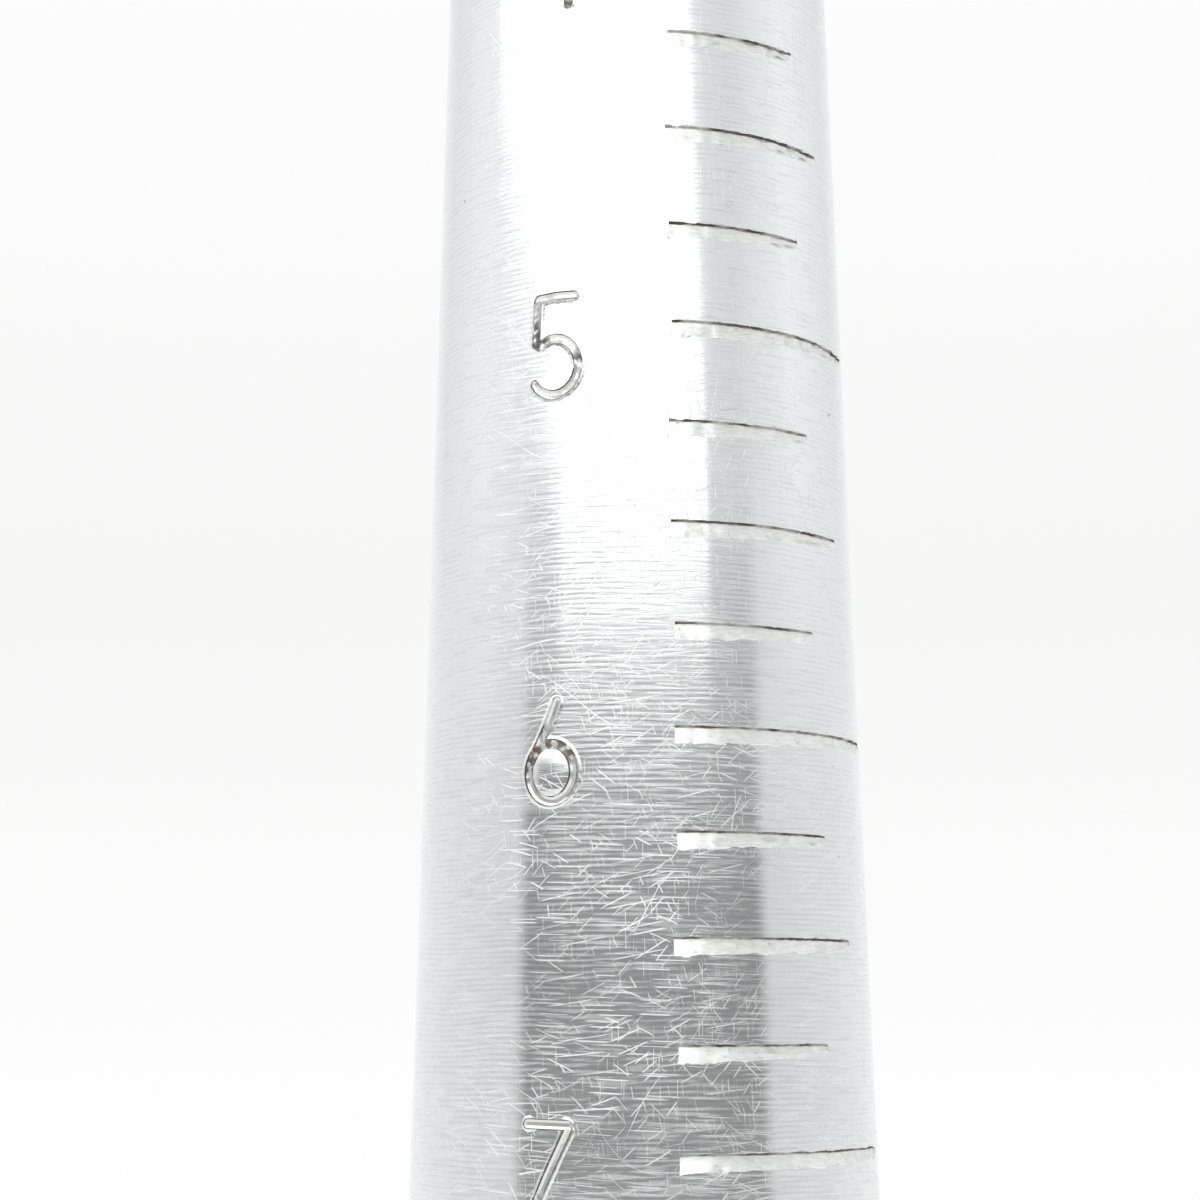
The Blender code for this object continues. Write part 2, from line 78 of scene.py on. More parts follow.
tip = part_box("gauge_taper")[1].z
spigot_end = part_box("gauge_taper")[0].z
shoulder = spigot_end + SPIGOT_LENGTH
size_pitch = (tip - TIP_LEAD - shoulder - SHOULDER_LEAD) / (LAST_SIZE - FIRST_SIZE)
taper_slope = DIAMETER_PER_SIZE / 2 / size_pitch


def mark_height(size):
    return tip - TIP_LEAD - (size - FIRST_SIZE) * size_pitch


def taper_radius(z):
    """Outer radius of the gauge at height z."""
    size = FIRST_SIZE + (mark_height(FIRST_SIZE) - z) / size_pitch
    return (SIZE_ZERO_DIAMETER + DIAMETER_PER_SIZE * size) / 2


def on_axis(azimuth, radius, z):
    """The point at this azimuth, radius and height."""
    return Vector((radius * math.sin(azimuth), -radius * math.cos(azimuth), z))


def corner_arc(radius, z, rounding, start, end, steps=6):
    """(radius, height) points on an arc round this centre, between two angles in degrees."""
    angles = [math.radians(start + (end - start) * i / steps) for i in range(steps + 1)]
    return [(radius + rounding * math.cos(a), z + rounding * math.sin(a)) for a in angles]


def turned(outline, steps, closed=False):
    """A shape turned about Z from (radius, height) points that run down its outer side."""
    bm = bmesh.new()
    points = [bm.verts.new((radius, 0, z)) for radius, z in outline]
    edges = [bm.edges.new(pair) for pair in pairwise(points)]
    if closed:
        edges.append(bm.edges.new((points[-1], points[0])))
    bmesh.ops.spin(
        bm,
        geom=points + edges,
        cent=(0, 0, 0),
        axis=(0, 0, 1),
        angle=math.tau,
        steps=steps,
        use_merge=True,
    )
    bmesh.ops.remove_doubles(bm, verts=bm.verts, dist=WELD_DISTANCE)
    return bm


def give_finish(mesh, materials, sharp_angle):
    """Shades a shape smooth between edges sharper than this angle in degrees, and gives it its finishes."""
    mesh.shade_smooth()
    mesh.set_sharp_from_angle(angle=math.radians(sharp_angle))
    mesh.materials.clear()
    for material in materials:
        mesh.materials.append(material)


def new_object(name, bm, materials=(), sharp_angle=28.0):
    """The shape as an object with its finishes, its faces pointing out."""
    bmesh.ops.recalc_face_normals(bm, faces=bm.faces)
    mesh = bpy.data.meshes.new(name)
    bm.to_mesh(mesh)
    bm.free()
    give_finish(mesh, materials, sharp_angle)
    obj = bpy.data.objects.new(name, mesh)
    bpy.context.scene.collection.objects.link(obj)
    return obj


def worked(body, tool, operation):
    """Cuts the tool's shape out of the body, joins it on or keeps what both fill, as the body's mesh."""
    cutter = new_object("tool", tool)
    boolean = body.modifiers.new("tool", "BOOLEAN")
    boolean.operation = operation
    boolean.solver = "MANIFOLD"
    boolean.object = cutter
    graph = bpy.context.evaluated_depsgraph_get()
    before = body.data
    body.data = bpy.data.meshes.new_from_object(body.evaluated_get(graph))
    body.modifiers.clear()
    if len(body.data.polygons) == len(before.polygons):
        raise RuntimeError("the tool changed nothing: " + operation)
    bpy.data.objects.remove(cutter)
    bpy.data.meshes.remove(before)


# Size marks: a steep upper wall under the size's own line, a floor that tilts up a little, a lower wall
# and a burr along its edge. Each point is a share of the depth and of the width below the line.
MARK_WIDTH = 0.62 * MM
MARK_DEPTH = 0.12 * MM
MARK_SECTION = ((1.0, 0.10), (0.72, 0.68), (0.0, 1.0))
MARK_START = math.radians(8.0)
MARK_END = {4: math.radians(78.0), 2: math.radians(62.5), 1: math.radians(50.5)}
MARK_RUN_OUT = math.radians(4.0)
MARK_NARROWING = 0.38
MARK_STEP = math.radians(1.2)
MARK_WAVE = 0.095 * MM
CUT_MARGIN = 0.5 * MM
BURR_HEIGHT = 0.022 * MM
BURR_WIDTH = 0.08 * MM


def append_to(bm, part):
    """Moves one mesh's faces into another and frees it."""
    carrier = bpy.data.meshes.new("carrier")
    part.to_mesh(carrier)
    part.free()
    bm.from_mesh(carrier)
    bpy.data.meshes.remove(carrier)


def spun_section(section, start, end):
    """A closed (radius, height) section swept round the axis from one azimuth to another."""
    bm = bmesh.new()
    face = bm.faces.new([bm.verts.new(on_axis(start, radius, z)) for radius, z in section])
    bmesh.ops.spin(
        bm,
        geom=[face, *face.edges, *face.verts],
        cent=(0, 0, 0),
        axis=(0, 0, 1),
        angle=end - start,
        steps=math.ceil((end - start) / MARK_STEP),
    )
    return bm


def waver(bm, seed, line, start, end, lift):
    """Makes a swept cut uneven, as by hand: it narrows along its way and rises out at its far end."""
    for vert in bm.verts:
        azimuth = math.atan2(vert.co.x, -vert.co.y)
        along = azimuth * 14
        rise = max(0.0, (azimuth - end + MARK_RUN_OUT) / MARK_RUN_OUT) ** 2 * lift
        outward = Vector((vert.co.x, vert.co.y, 0)).normalized()
        below = line - vert.co.z
        depth = noise.noise(Vector((along * 1.3, seed, below / MM))) * MARK_WAVE * 0.5
        vert.co += outward * (depth + rise)
        if below > 0:
            vert.co.z += below * MARK_NARROWING * (azimuth - start) / (end - start)
        ripple = noise.noise(Vector((along, seed, below / MM * 2))) + 0.5 * noise.noise(
            Vector((along * 3.1, seed, 7.0))
        )
        vert.co.z += ripple * MARK_WAVE


def mark_shapes():
    """The marks' cutter and the burrs that stand along their lower edges."""
    cuts = bmesh.new()
    burrs = bmesh.new()
    hand = random.Random(6)
    for step in range((LAST_SIZE - FIRST_SIZE) * MARKS_PER_SIZE + 1):
        line = mark_height(FIRST_SIZE + step / MARKS_PER_SIZE)
        surface = taper_radius(line)
        start = MARK_START + math.radians(hand.uniform(-0.7, 0.7))
        end = MARK_END[math.gcd(step, MARKS_PER_SIZE)] + math.radians(hand.uniform(-1.5, 1.5))
        points = [
            (surface - MARK_DEPTH * deep, line - MARK_WIDTH * down)
            for deep, down in MARK_SECTION
        ]
        (_, wall_z), (floor_edge, floor_z), (rim, rim_z) = points
        beyond_wall = (surface + CUT_MARGIN, line + (line - wall_z) * CUT_MARGIN / MARK_DEPTH)
        beyond_rim = (rim + CUT_MARGIN, rim_z + (rim_z - floor_z) * CUT_MARGIN / (rim - floor_edge))
        cut = spun_section((beyond_wall, *points[:2], beyond_rim), start, end)
        waver(cut, step, line, start, end, MARK_DEPTH * 0.7)
        append_to(cuts, cut)
        burr = (
            (surface - BURR_HEIGHT, rim_z - BURR_WIDTH * 1.2),
            (surface + BURR_HEIGHT * 0.4, rim_z - BURR_WIDTH * 0.8),
            (surface + BURR_HEIGHT, rim_z - BURR_WIDTH * 0.1),
            (surface + BURR_HEIGHT, rim_z + BURR_WIDTH * 0.4),
            (surface - BURR_HEIGHT, rim_z + BURR_WIDTH * 1.4),
        )
        burr = spun_section(burr, start - math.radians(0.3), end - MARK_RUN_OUT)
        waver(burr, step, line, start, end, 0.0)
        append_to(burrs, burr)
    return cuts, burrs


# Stamped numbers, drawn flat in a box 1 wide and 1 high and then bent round the taper. A stroke is a tube
# whose middle lies just outside the metal, so that its groove is shallow, with rounded walls and floor.
DIGIT_WIDTH = 1.75 * MM
DIGIT_HEIGHT = 3.65 * MM
DIGIT_STROKE = 0.185 * MM
STROKE_NOSE = (25, 50, 70, 84)
STROKE_INSET = 0.6
DIGIT_SINK = 0.75
DIGIT_LIFT = 0.03 * MM
DIGIT_ADVANCE = 2.50 * MM
DIGIT_AZIMUTH = math.radians(-22.7)
DIGIT_DROP = 0.80 * MM
DIGIT_BOWL = 0.28
LIP_WIDTH = 0.29 * MM
LIP_HEIGHT = 0.028 * MM
SWELL_WIDTH = 0.80 * MM
SWELL_LENGTH = 0.90 * MM
SWELL_HEIGHT = 0.075 * MM
SWELLS = {0: (0.5,), 6: (DIGIT_BOWL,), 8: (DIGIT_BOWL, 0.77), 9: (1 - DIGIT_BOWL,)}


def bow(x, y, width, height, start, end, steps=18):
    """Points on an elliptical arc in the digit's own unit box, angles in degrees."""
    angles = [math.radians(start + (end - start) * i / steps) for i in range(steps + 1)]
    return [(x + width * math.cos(a), y + height * math.sin(a)) for a in angles]


def ring(x, y, width, height):
    """A closed oval: the same as a full bow with its last point left to the closing."""
    return bow(x, y, width, height, 90, 450, 32)[:-1]


def digit_strokes():
    """Each digit's strokes, as (closed, points). At a sharp corner one stroke ends and the next begins."""
    low = DIGIT_BOWL
    six = [(True, ring(0.5, low, 0.5, low)), (False, [(0.64, 1.0), (0.42, 0.73), (0.03, low * 1.3)])]
    return {
        0: [(True, ring(0.5, 0.5, 0.5, 0.5))],
        1: [(False, [(0.55, 1.0), (0.55, 0.0)]), (False, [(0.22, 0.82), (0.5, 0.97)])],
        2: [(False, bow(0.5, 0.74, 0.48, 0.26, 165, -35) + [(0.02, 0.03)]), (False, [(0, 0), (1, 0)])],
        3: [
            (False, bow(0.46, 0.77, 0.44, 0.23, 150, -80)),
            (False, bow(0.46, 0.27, 0.52, 0.27, 85, -150)),
        ],
        4: [
            (False, [(0.70, 1.0), (0.0, 0.3)]),
            (False, [(0.0, 0.3), (1.0, 0.3)]),
            (False, [(0.72, 0.62), (0.72, 0.0)]),
        ],
        5: [
            (False, [(0.04, 0.985), (0.5, 1.0), (0.97, 0.995)]),
            (False, [(0.08, 0.99), (0.05, 0.50)]),
            (False, bow(0.47, low, 0.54, 0.29, 136, -152)),
        ],
        6: six,
        7: [(False, [(0.0, 1.0), (1.0, 0.985)]), (False, [(0.97, 0.96), (0.5, 0.5), (0.02, 0.0)])],
        8: [(True, ring(0.5, 0.77, 0.42, 0.23)), (True, ring(0.5, 0.27, 0.5, 0.27))],
        9: [(closed, [(1 - x, 1 - y) for x, y in points]) for closed, points in six],
    }


def nosed(places, half_width):
    """Places along a stroke with their shares of its width, run on into a round nose at each end."""
    nose = [(math.sin(math.radians(turn)), math.cos(math.radians(turn))) for turn in STROKE_NOSE]
    start = (places[0] - places[1]).normalized() * half_width
    end = (places[-1] - places[-2]).normalized() * half_width
    places = [places[0] - start * STROKE_INSET, *places[1:-1], places[-1] - end * STROKE_INSET]
    head = [(places[0] + start * out, wide) for out, wide in reversed(nose)]
    tail = [(places[-1] + end * out, wide) for out, wide in nose]
    return [*head, *((place, 1.0) for place in places), *tail]


def punch_stroke(points, closed, half_width):
    """One stroke as a tube lying in the number's plane: X across the number, Y up, Z out of the metal."""
    curve = bpy.data.curves.new("stroke", "CURVE")
    curve.dimensions = "3D"
    curve.bevel_depth = half_width
    curve.bevel_resolution = 3
    curve.use_fill_caps = True
    places = [Vector(((x - 0.5) * DIGIT_WIDTH, (y - 0.5) * DIGIT_HEIGHT)) for x, y in points]
    route = [(place, 1.0) for place in places] if closed else nosed(places, half_width)
    spline = curve.splines.new("POLY")
    spline.points.add(len(route) - 1)
    spline.use_cyclic_u = closed
    for point, (place, wide) in zip(spline.points, route):
        point.co = (place.x, place.y, 0, 1)
        point.radius = wide
    guide = bpy.data.objects.new("stroke", curve)
    bpy.context.scene.collection.objects.link(guide)
    graph = bpy.context.evaluated_depsgraph_get()
    bm = bmesh.new()
    bm.from_mesh(bpy.data.meshes.new_from_object(guide.evaluated_get(graph)))
    bpy.data.objects.remove(guide)
    return bm


def bent_round(flat, azimuth, middle_z, shape):
    """A flat shape, its depth reworked by shape, bent round the taper at this place."""
    bmesh.ops.remove_doubles(flat, verts=flat.verts, dist=WELD_DISTANCE * 4)
    bmesh.ops.recalc_face_normals(flat, faces=flat.faces)
    for vert in flat.verts:
        z = middle_z + vert.co.y
        radius = taper_radius(z)
        vert.co = on_axis(azimuth + vert.co.x / radius, radius + shape(vert.co), z)
    return flat


def groove_depth(place):
    return place.z * DIGIT_SINK + DIGIT_LIFT


def lip_depth(place):
    return place.z * LIP_HEIGHT / LIP_WIDTH


def swell_depth(place):
    return place.z


def counter_swell(height):
    """The metal heaved up inside a number's closed bowl, as a low dome."""
    bm = bmesh.new()
    bmesh.ops.create_uvsphere(bm, u_segments=24, v_segments=16, radius=1.0)
    bmesh.ops.scale(bm, vec=(SWELL_WIDTH, SWELL_LENGTH, SWELL_HEIGHT), verts=bm.verts)
    bmesh.ops.translate(bm, vec=(0, (height - 0.5) * DIGIT_HEIGHT, 0), verts=bm.verts)
    return bm


def number_shapes():
    """The punches' strokes and the lips they heave up, in three rounds: in a round no strokes meet."""
    strokes = digit_strokes()
    cuts = [bmesh.new() for _ in range(3)]
    lips = [bmesh.new() for _ in range(3)]
    swells = bmesh.new()
    for size in range(FIRST_SIZE, LAST_SIZE + 1):
        digits = [int(letter) for letter in str(size)]
        z = mark_height(size) - DIGIT_DROP
        for place, digit in enumerate(digits):
            azimuth = DIGIT_AZIMUTH + (place - (len(digits) - 1) / 2) * DIGIT_ADVANCE / taper_radius(z)
            for turn, (closed, points) in enumerate(strokes[digit]):
                groove = punch_stroke(points, closed, DIGIT_STROKE)
                append_to(cuts[turn], bent_round(groove, azimuth, z, groove_depth))
                lip = punch_stroke(points, closed, LIP_WIDTH)
                append_to(lips[turn], bent_round(lip, azimuth, z, lip_depth))
            for height in SWELLS.get(digit, ()):
                append_to(swells, bent_round(counter_swell(height), azimuth, z, swell_depth))
    return cuts, [*lips, swells]


def gauge_outline():
    fillet_foot = tip - TIP_FILLET
    chamfer_top = shoulder + SHOULDER_CHAMFER
    hole_end = spigot_end + STUD_HOLE_DEPTH
    return [
        (0.0, tip - CENTRE_DRILL_DEPTH),
        (CENTRE_DRILL_RADIUS * 0.35, tip - CENTRE_DRILL_DEPTH * 0.72),
        (CENTRE_DRILL_RADIUS, tip),
        *corner_arc(taper_radius(fillet_foot) - TIP_FILLET, fillet_foot, TIP_FILLET, 90, 0, 10),
        (taper_radius(chamfer_top), chamfer_top),
        (taper_radius(chamfer_top) - SHOULDER_CHAMFER, shoulder),
        (SPIGOT_RADIUS, shoulder),
        (SPIGOT_RADIUS, spigot_end + SHOULDER_CHAMFER),
        (SPIGOT_RADIUS - SHOULDER_CHAMFER, spigot_end),
        (STUD_HOLE_RADIUS, spigot_end),
        (STUD_HOLE_RADIUS, hole_end),
        (0.0, hole_end + STUD_HOLE_RADIUS * DRILL_POINT_SLOPE),
    ]


# How far a face may lie from the true cone and still be its skin, and how deep the deepest cut may be.
SKIN_TOLERANCE = 0.006 * MM
DEEPEST_CUT = 0.5 * MM


def dress_taper(mesh):
    """Gives the taper's skin true cone normals, and the cuts and stamps below it their own finishes."""
    normals = [Vector()] * len(mesh.loops)
    for face in mesh.polygons:
        middle = face.center
        radial = Vector((middle.x, middle.y, 0))
        depth = taper_radius(middle.z) - radial.length
        if not shoulder < middle.z < tip - TIP_FILLET or depth > DEEPEST_CUT:
            continue
        if abs(depth) < SKIN_TOLERANCE and face.normal.dot(radial.normalized()) > 0.998:
            for loop in face.loop_indices:
                place = mesh.vertices[mesh.loops[loop].vertex_index].co
                outward = Vector((place.x, place.y, 0)).normalized()
                normals[loop] = (outward + Vector((0, 0, taper_slope))).normalized()
        elif depth > SKIN_TOLERANCE:
            face.material_index = 1 if middle.x > 0 else 2
    mesh.normals_split_custom_set(normals)


def feed(tree, socket, value):
    """Wires another node's output to this input, or sets it to a plain value."""
    if isinstance(value, bpy.types.NodeSocket):
        tree.links.new(value, socket)
    else:
        socket.default_value = value


def put(tree, kind, wires=None, **settings):
    """A shader node of this kind, with its inputs fed by name or number."""
    made = tree.nodes.new("ShaderNode" + kind)
    for name, value in settings.items():
        setattr(made, name, value)
    for label, value in (wires or {}).items():
        feed(tree, made.inputs[label], value)
    return made


def maths(tree, operation, *values, clamp=False):
    return put(tree, "Math", dict(enumerate(values)), operation=operation, use_clamp=clamp).outputs[0]


def vector_maths(tree, operation, *values):
    return put(tree, "VectorMath", dict(enumerate(values)), operation=operation).outputs[0]


def eased(tree, value, low, high, start=0.0, end=1.0):
    """The value's way from low to high, eased, as a number between start and end."""
    wires = {0: value, 1: low, 2: high, 3: start, 4: end}
    return put(tree, "MapRange", wires, interpolation_type="SMOOTHSTEP").outputs[0]


def blended(tree, share, first, second, blend="MIX"):
    """Two colours mixed by share."""
    wires = {0: share, 6: first, 7: second}
    return put(tree, "Mix", wires, data_type="RGBA", blend_type=blend).outputs[2]


def noise_at(tree, place, scale, detail=2.0):
    return put(tree, "TexNoise", {"Vector": place, "Scale": scale, "Detail": detail}).outputs[0]


def new_effect(name, takes, gives):
    """An empty node group with these named inputs, at their start values, and one output."""
    group = bpy.data.node_groups.new(name, "ShaderNodeTree")
    for label, start in takes.items():
        kind = "NodeSocketVector" if start is None else "NodeSocketFloat"
        socket = group.interface.new_socket(label, in_out="INPUT", socket_type=kind)
        if start is not None:
            socket.default_value = start
    kind = "NodeSocketVector" if gives == "Vector" else "NodeSocketFloat"
    group.interface.new_socket(gives, in_out="OUTPUT", socket_type=kind)
    return group, group.nodes.new("NodeGroupInput").outputs, group.nodes.new("NodeGroupOutput").inputs


def use(tree, group, **values):
    """A node group placed in a material with its own values. Spaces in names are underscores here."""
    made = tree.nodes.new("ShaderNodeGroup")
    made.node_tree = group
    for label, value in values.items():
        feed(tree, made.inputs[label.replace("_", " ")], value)
    return made.outputs[0]


def make_lathe_lines():
    """Turning lines round a piece: low in their grooves, high on their crests. Pitch is in millimetres."""
    takes = {"Place": None, "Pitch": 0.19, "Break Up": 0.1}
    tree, takes, gives = new_effect("lathe lines", takes, "Lines")
    across = maths(tree, "MULTIPLY", takes["Break Up"], 1000.0)
    along = maths(tree, "DIVIDE", 1000.0, takes["Pitch"])
    stretch = put(tree, "CombineXYZ", {0: across, 1: across, 2: along}).outputs[0]
    place = vector_maths(tree, "MULTIPLY", takes["Place"], stretch)
    loose = noise_at(tree, place, 1.7, 2.0)
    height = put(tree, "SeparateXYZ", {0: place}).outputs[2]
    wander = noise_at(tree, vector_maths(tree, "MULTIPLY", place, (1.0, 1.0, 0.10)), 0.5, 1.0)
    turns = maths(tree, "MULTIPLY_ADD", wander, 1.5, height)
    even = maths(tree, "SINE", maths(tree, "MULTIPLY", turns, math.tau))
    patch = noise_at(tree, vector_maths(tree, "MULTIPLY", place, (1.0, 1.0, 0.05)), 0.6, 2.0)
    even = maths(tree, "MULTIPLY", even, eased(tree, patch, 0.38, 0.62, 0.04, 0.17))
    tree.links.new(maths(tree, "ADD", even, loose), gives[0])
    return tree


def make_scratches():
    """Fine straight or slightly bent scratches round a piece of this radius, 1 along each.

    Sizes are in millimetres and the angle is in degrees.
    """
    sizes = {"Radius": 8.0, "Angle": 20.0, "Length": 5.0, "Spacing": 0.8, "Width": 0.04}
    takes = {"Place": None, **sizes, "Share": 0.4, "Bend": 2.0}
    tree, takes, gives = new_effect("scratches", takes, "Scratch")
    apart = put(tree, "SeparateXYZ", {0: takes["Place"]}).outputs
    azimuth = maths(tree, "ARCTAN2", apart[0], maths(tree, "MULTIPLY", apart[1], -1.0))
    round_it = maths(tree, "MULTIPLY", azimuth, takes["Radius"])
    height = maths(tree, "MULTIPLY", apart[2], 1000.0)
    flat = put(tree, "CombineXYZ", {0: round_it, 1: height}).outputs[0]
    drift = put(tree, "TexNoise", {"Vector": flat, "Scale": 0.09, "Detail": 1.0}).outputs[1]
    drift = vector_maths(tree, "SUBTRACT", drift, (0.5, 0.5, 0.5))
    bend = put(tree, "CombineXYZ", {0: takes["Bend"], 1: takes["Bend"]}).outputs[0]
    place = vector_maths(tree, "ADD", flat, vector_maths(tree, "MULTIPLY", drift, bend))
    angle = maths(tree, "RADIANS", takes["Angle"])
    wires = {"Vector": place, "Angle": angle}
    turn = put(tree, "VectorRotate", wires, rotation_type="Z_AXIS").outputs[0]
    cell = put(tree, "CombineXYZ", {0: takes["Length"], 1: takes["Spacing"], 2: 1.0}).outputs[0]
    cells = vector_maths(tree, "DIVIDE", turn, cell)
    wires = {"Vector": cells, "Scale": 1.0}
    voronoi = put(tree, "TexVoronoi", wires, voronoi_dimensions="2D").outputs
    away = vector_maths(tree, "SUBTRACT", cells, voronoi["Position"])
    away = put(tree, "SeparateXYZ", {0: vector_maths(tree, "MULTIPLY", away, cell)}).outputs
    chance = put(tree, "SeparateColor", {0: voronoi["Color"]}).outputs
    wide = maths(tree, "MULTIPLY", takes["Width"], eased(tree, chance[1], 0.0, 1.0, 0.25, 0.6))
    beside = maths(tree, "DIVIDE", maths(tree, "ABSOLUTE", away[1]), wide)
    line = eased(tree, beside, 0.5, 1.2, 1.0, 0.0)
    reach = maths(tree, "DIVIDE", maths(tree, "ABSOLUTE", away[0]), takes["Length"])
    line = maths(tree, "MULTIPLY", line, eased(tree, reach, 0.18, 0.38, 1.0, 0.0))
    kept = maths(tree, "LESS_THAN", chance[0], takes["Share"])
    line = maths(tree, "MULTIPLY", line, kept)
    strength = eased(tree, chance[2], 0.0, 1.0, 0.35, 1.0)
    tree.links.new(maths(tree, "MULTIPLY", line, strength), gives[0])
    return tree


def make_pits():
    """Small round pits scattered over a surface, 1 at their middles. Their sizes are in millimetres."""
    takes = {"Place": None, "Spacing": 1.5, "Size": 0.08, "Share": 0.3}
    tree, takes, gives = new_effect("pits", takes, "Pits")
    scale = maths(tree, "DIVIDE", 1000.0, takes["Spacing"])
    voronoi = put(tree, "TexVoronoi", {"Vector": takes["Place"], "Scale": scale}).outputs
    away = maths(tree, "MULTIPLY", voronoi["Distance"], takes["Spacing"])
    chance = put(tree, "SeparateColor", {0: voronoi["Color"]}).outputs
    size = maths(tree, "MULTIPLY", takes["Size"], eased(tree, chance[1], 0.0, 1.0, 0.4, 1.0))
    spot = eased(tree, maths(tree, "DIVIDE", away, size), 0.4, 1.0, 1.0, 0.0)
    kept = maths(tree, "LESS_THAN", chance[0], takes["Share"])
    tree.links.new(maths(tree, "MULTIPLY", spot, kept), gives[0])
    return tree


lathe_lines = make_lathe_lines()
scratches = make_scratches()
pits = make_pits()

ALUMINIUM = (0.90, 0.91, 0.915, 1.0)
TORN_DULL = (0.79, 0.80, 0.77, 1.0)
TORN_BRIGHT = (0.92, 0.93, 0.92, 1.0)
STAMPED_FLOOR = (0.80, 0.80, 0.79, 1.0)
# Dark brown for packed-in grime, and for painted shade on the grooves' walls.
GRIME_AND_SHADE = (0.050, 0.030, 0.022, 1.0)


def new_finish(name):
    """A finish to be filled in: its material, tree, surface shader and place on the piece in metres."""
    material = bpy.data.materials.new(name)
    material.use_nodes = True
    tree = material.node_tree
    shader = tree.nodes["Principled BSDF"]
    return material, tree, shader, put(tree, "TexCoord").outputs["Object"]


def wire(tree, shader, **values):
    """Wires or sets the shader's inputs. Spaces in names are underscores here."""
    for label, value in values.items():
        feed(tree, shader.inputs[label.replace("_", " ")], value)


def bumped(tree, height, depth, normal=None):
    """A surface normal from a height between 0 and 1 that stands for this depth in metres."""
    wires = {"Height": height, "Distance": depth, "Filter Width": 0.1}
    if normal:
        wires["Normal"] = normal
    return put(tree, "Bump", wires).outputs[0]


# The taper's radius at about size 6, in millimetres, round which its scratches are spread. Then, for each
# layer of scratches on turned aluminium: angle in degrees, length, spacing and width in millimetres, the
# share of them that is kept, and how far they bend.
SCRATCHED_RADIUS = 8.2
ALUMINIUM_SCRATCHES = (
    (3.0, 1.8, 0.16, 0.031, 0.50, 0.6),
    (-8.0, 2.6, 0.40, 0.035, 0.40, 2.0),
    (-24.0, 1.6, 0.45, 0.036, 0.36, 5.0),
    (34.0, 1.2, 0.38, 0.034, 0.38, 6.0),
    (-44.0, 0.9, 0.36, 0.034, 0.36, 6.0),
    (67.0, 0.7, 0.30, 0.032, 0.36, 5.0),
    (89.0, 1.0, 0.22, 0.026, 0.42, 1.0),
    (-58.0, 2.4, 1.60, 0.042, 0.36, 12.0),
    (17.0, 6.0, 2.80, 0.048, 0.45, 9.0),
)


def turned_aluminium(name, radius, pitch=0.19):
    """Lathe-turned aluminium: lines round the piece, then years of light scratches and small dents."""
    material, tree, shader, place = new_finish(name)
    fine = use(tree, lathe_lines, Place=place, Pitch=pitch, Break_Up=0.45)
    broad = use(tree, lathe_lines, Place=place, Pitch=pitch * 5.5, Break_Up=0.20)
    scratch = None
    for angle, length, spacing, width, share, bend in ALUMINIUM_SCRATCHES:
        values = {"Angle": angle, "Length": length, "Spacing": spacing, "Width": width, "Share": share}
        layer = use(tree, scratches, Place=place, Radius=radius, Bend=bend, **values)
        scratch = layer if scratch is None else maths(tree, "MAXIMUM", scratch, layer)
    pit = use(tree, pits, Place=place, Spacing=1.7, Size=0.09, Share=0.22)
    haze = noise_at(tree, place, 260.0, 3.0)
    gathered = eased(tree, noise_at(tree, place, 190.0, 2.0), 0.36, 0.62, 0.30, 1.0)
    scratch = maths(tree, "MULTIPLY", scratch, gathered)
    crest = eased(tree, fine, 0.48, 0.62)
    worn = eased(tree, haze, 0.35, 0.65, 0.55, 1.0)
    dull = maths(tree, "MULTIPLY_ADD", maths(tree, "MULTIPLY", crest, worn), 0.10, 0.095)
    dull = maths(tree, "MULTIPLY_ADD", haze, 0.04, dull)
    dull = maths(tree, "MULTIPLY_ADD", scratch, 0.36, dull)
    dull = maths(tree, "MULTIPLY_ADD", pit, 0.3, dull, clamp=True)
    # The base colour is darker down in the turning lines' grooves, which is painted shade, and darker still
    # in the pits and a little along the scratches.
    shade = maths(tree, "MULTIPLY_ADD", eased(tree, fine, 0.34, 0.46, 1.0, 0.0), -0.07, 1.0)
    shade = maths(tree, "MULTIPLY_ADD", pit, -0.55, shade)
    shade = maths(tree, "MULTIPLY_ADD", scratch, -0.05, shade)
    grey = put(tree, "CombineColor", {0: shade, 1: shade, 2: shade}).outputs[0]
    colour = blended(tree, 1.0, ALUMINIUM, grey, "MULTIPLY")
    normal = bumped(tree, broad, 0.0022 * MM)
    axial = noise_at(tree, vector_maths(tree, "MULTIPLY", place, (4200.0, 4200.0, 500.0)), 1.0, 1.0)
    normal = bumped(tree, axial, 0.0010 * MM, normal)
    normal = bumped(tree, fine, 0.0025 * MM, normal)
    marks = maths(tree, "ADD", scratch, maths(tree, "MULTIPLY", pit, 3.0))
    normal = bumped(tree, maths(tree, "MULTIPLY", marks, -1.0), 0.004 * MM, normal)
    tangent = put(tree, "Tangent", direction_type="RADIAL", axis="Z").outputs[0]
    wire(tree, shader, Base_Color=colour, Metallic=1.0, Roughness=dull, Normal=normal)
    wire(tree, shader, Anisotropic=0.55, Anisotropic_Rotation=0.25, Tangent=tangent)
    return material


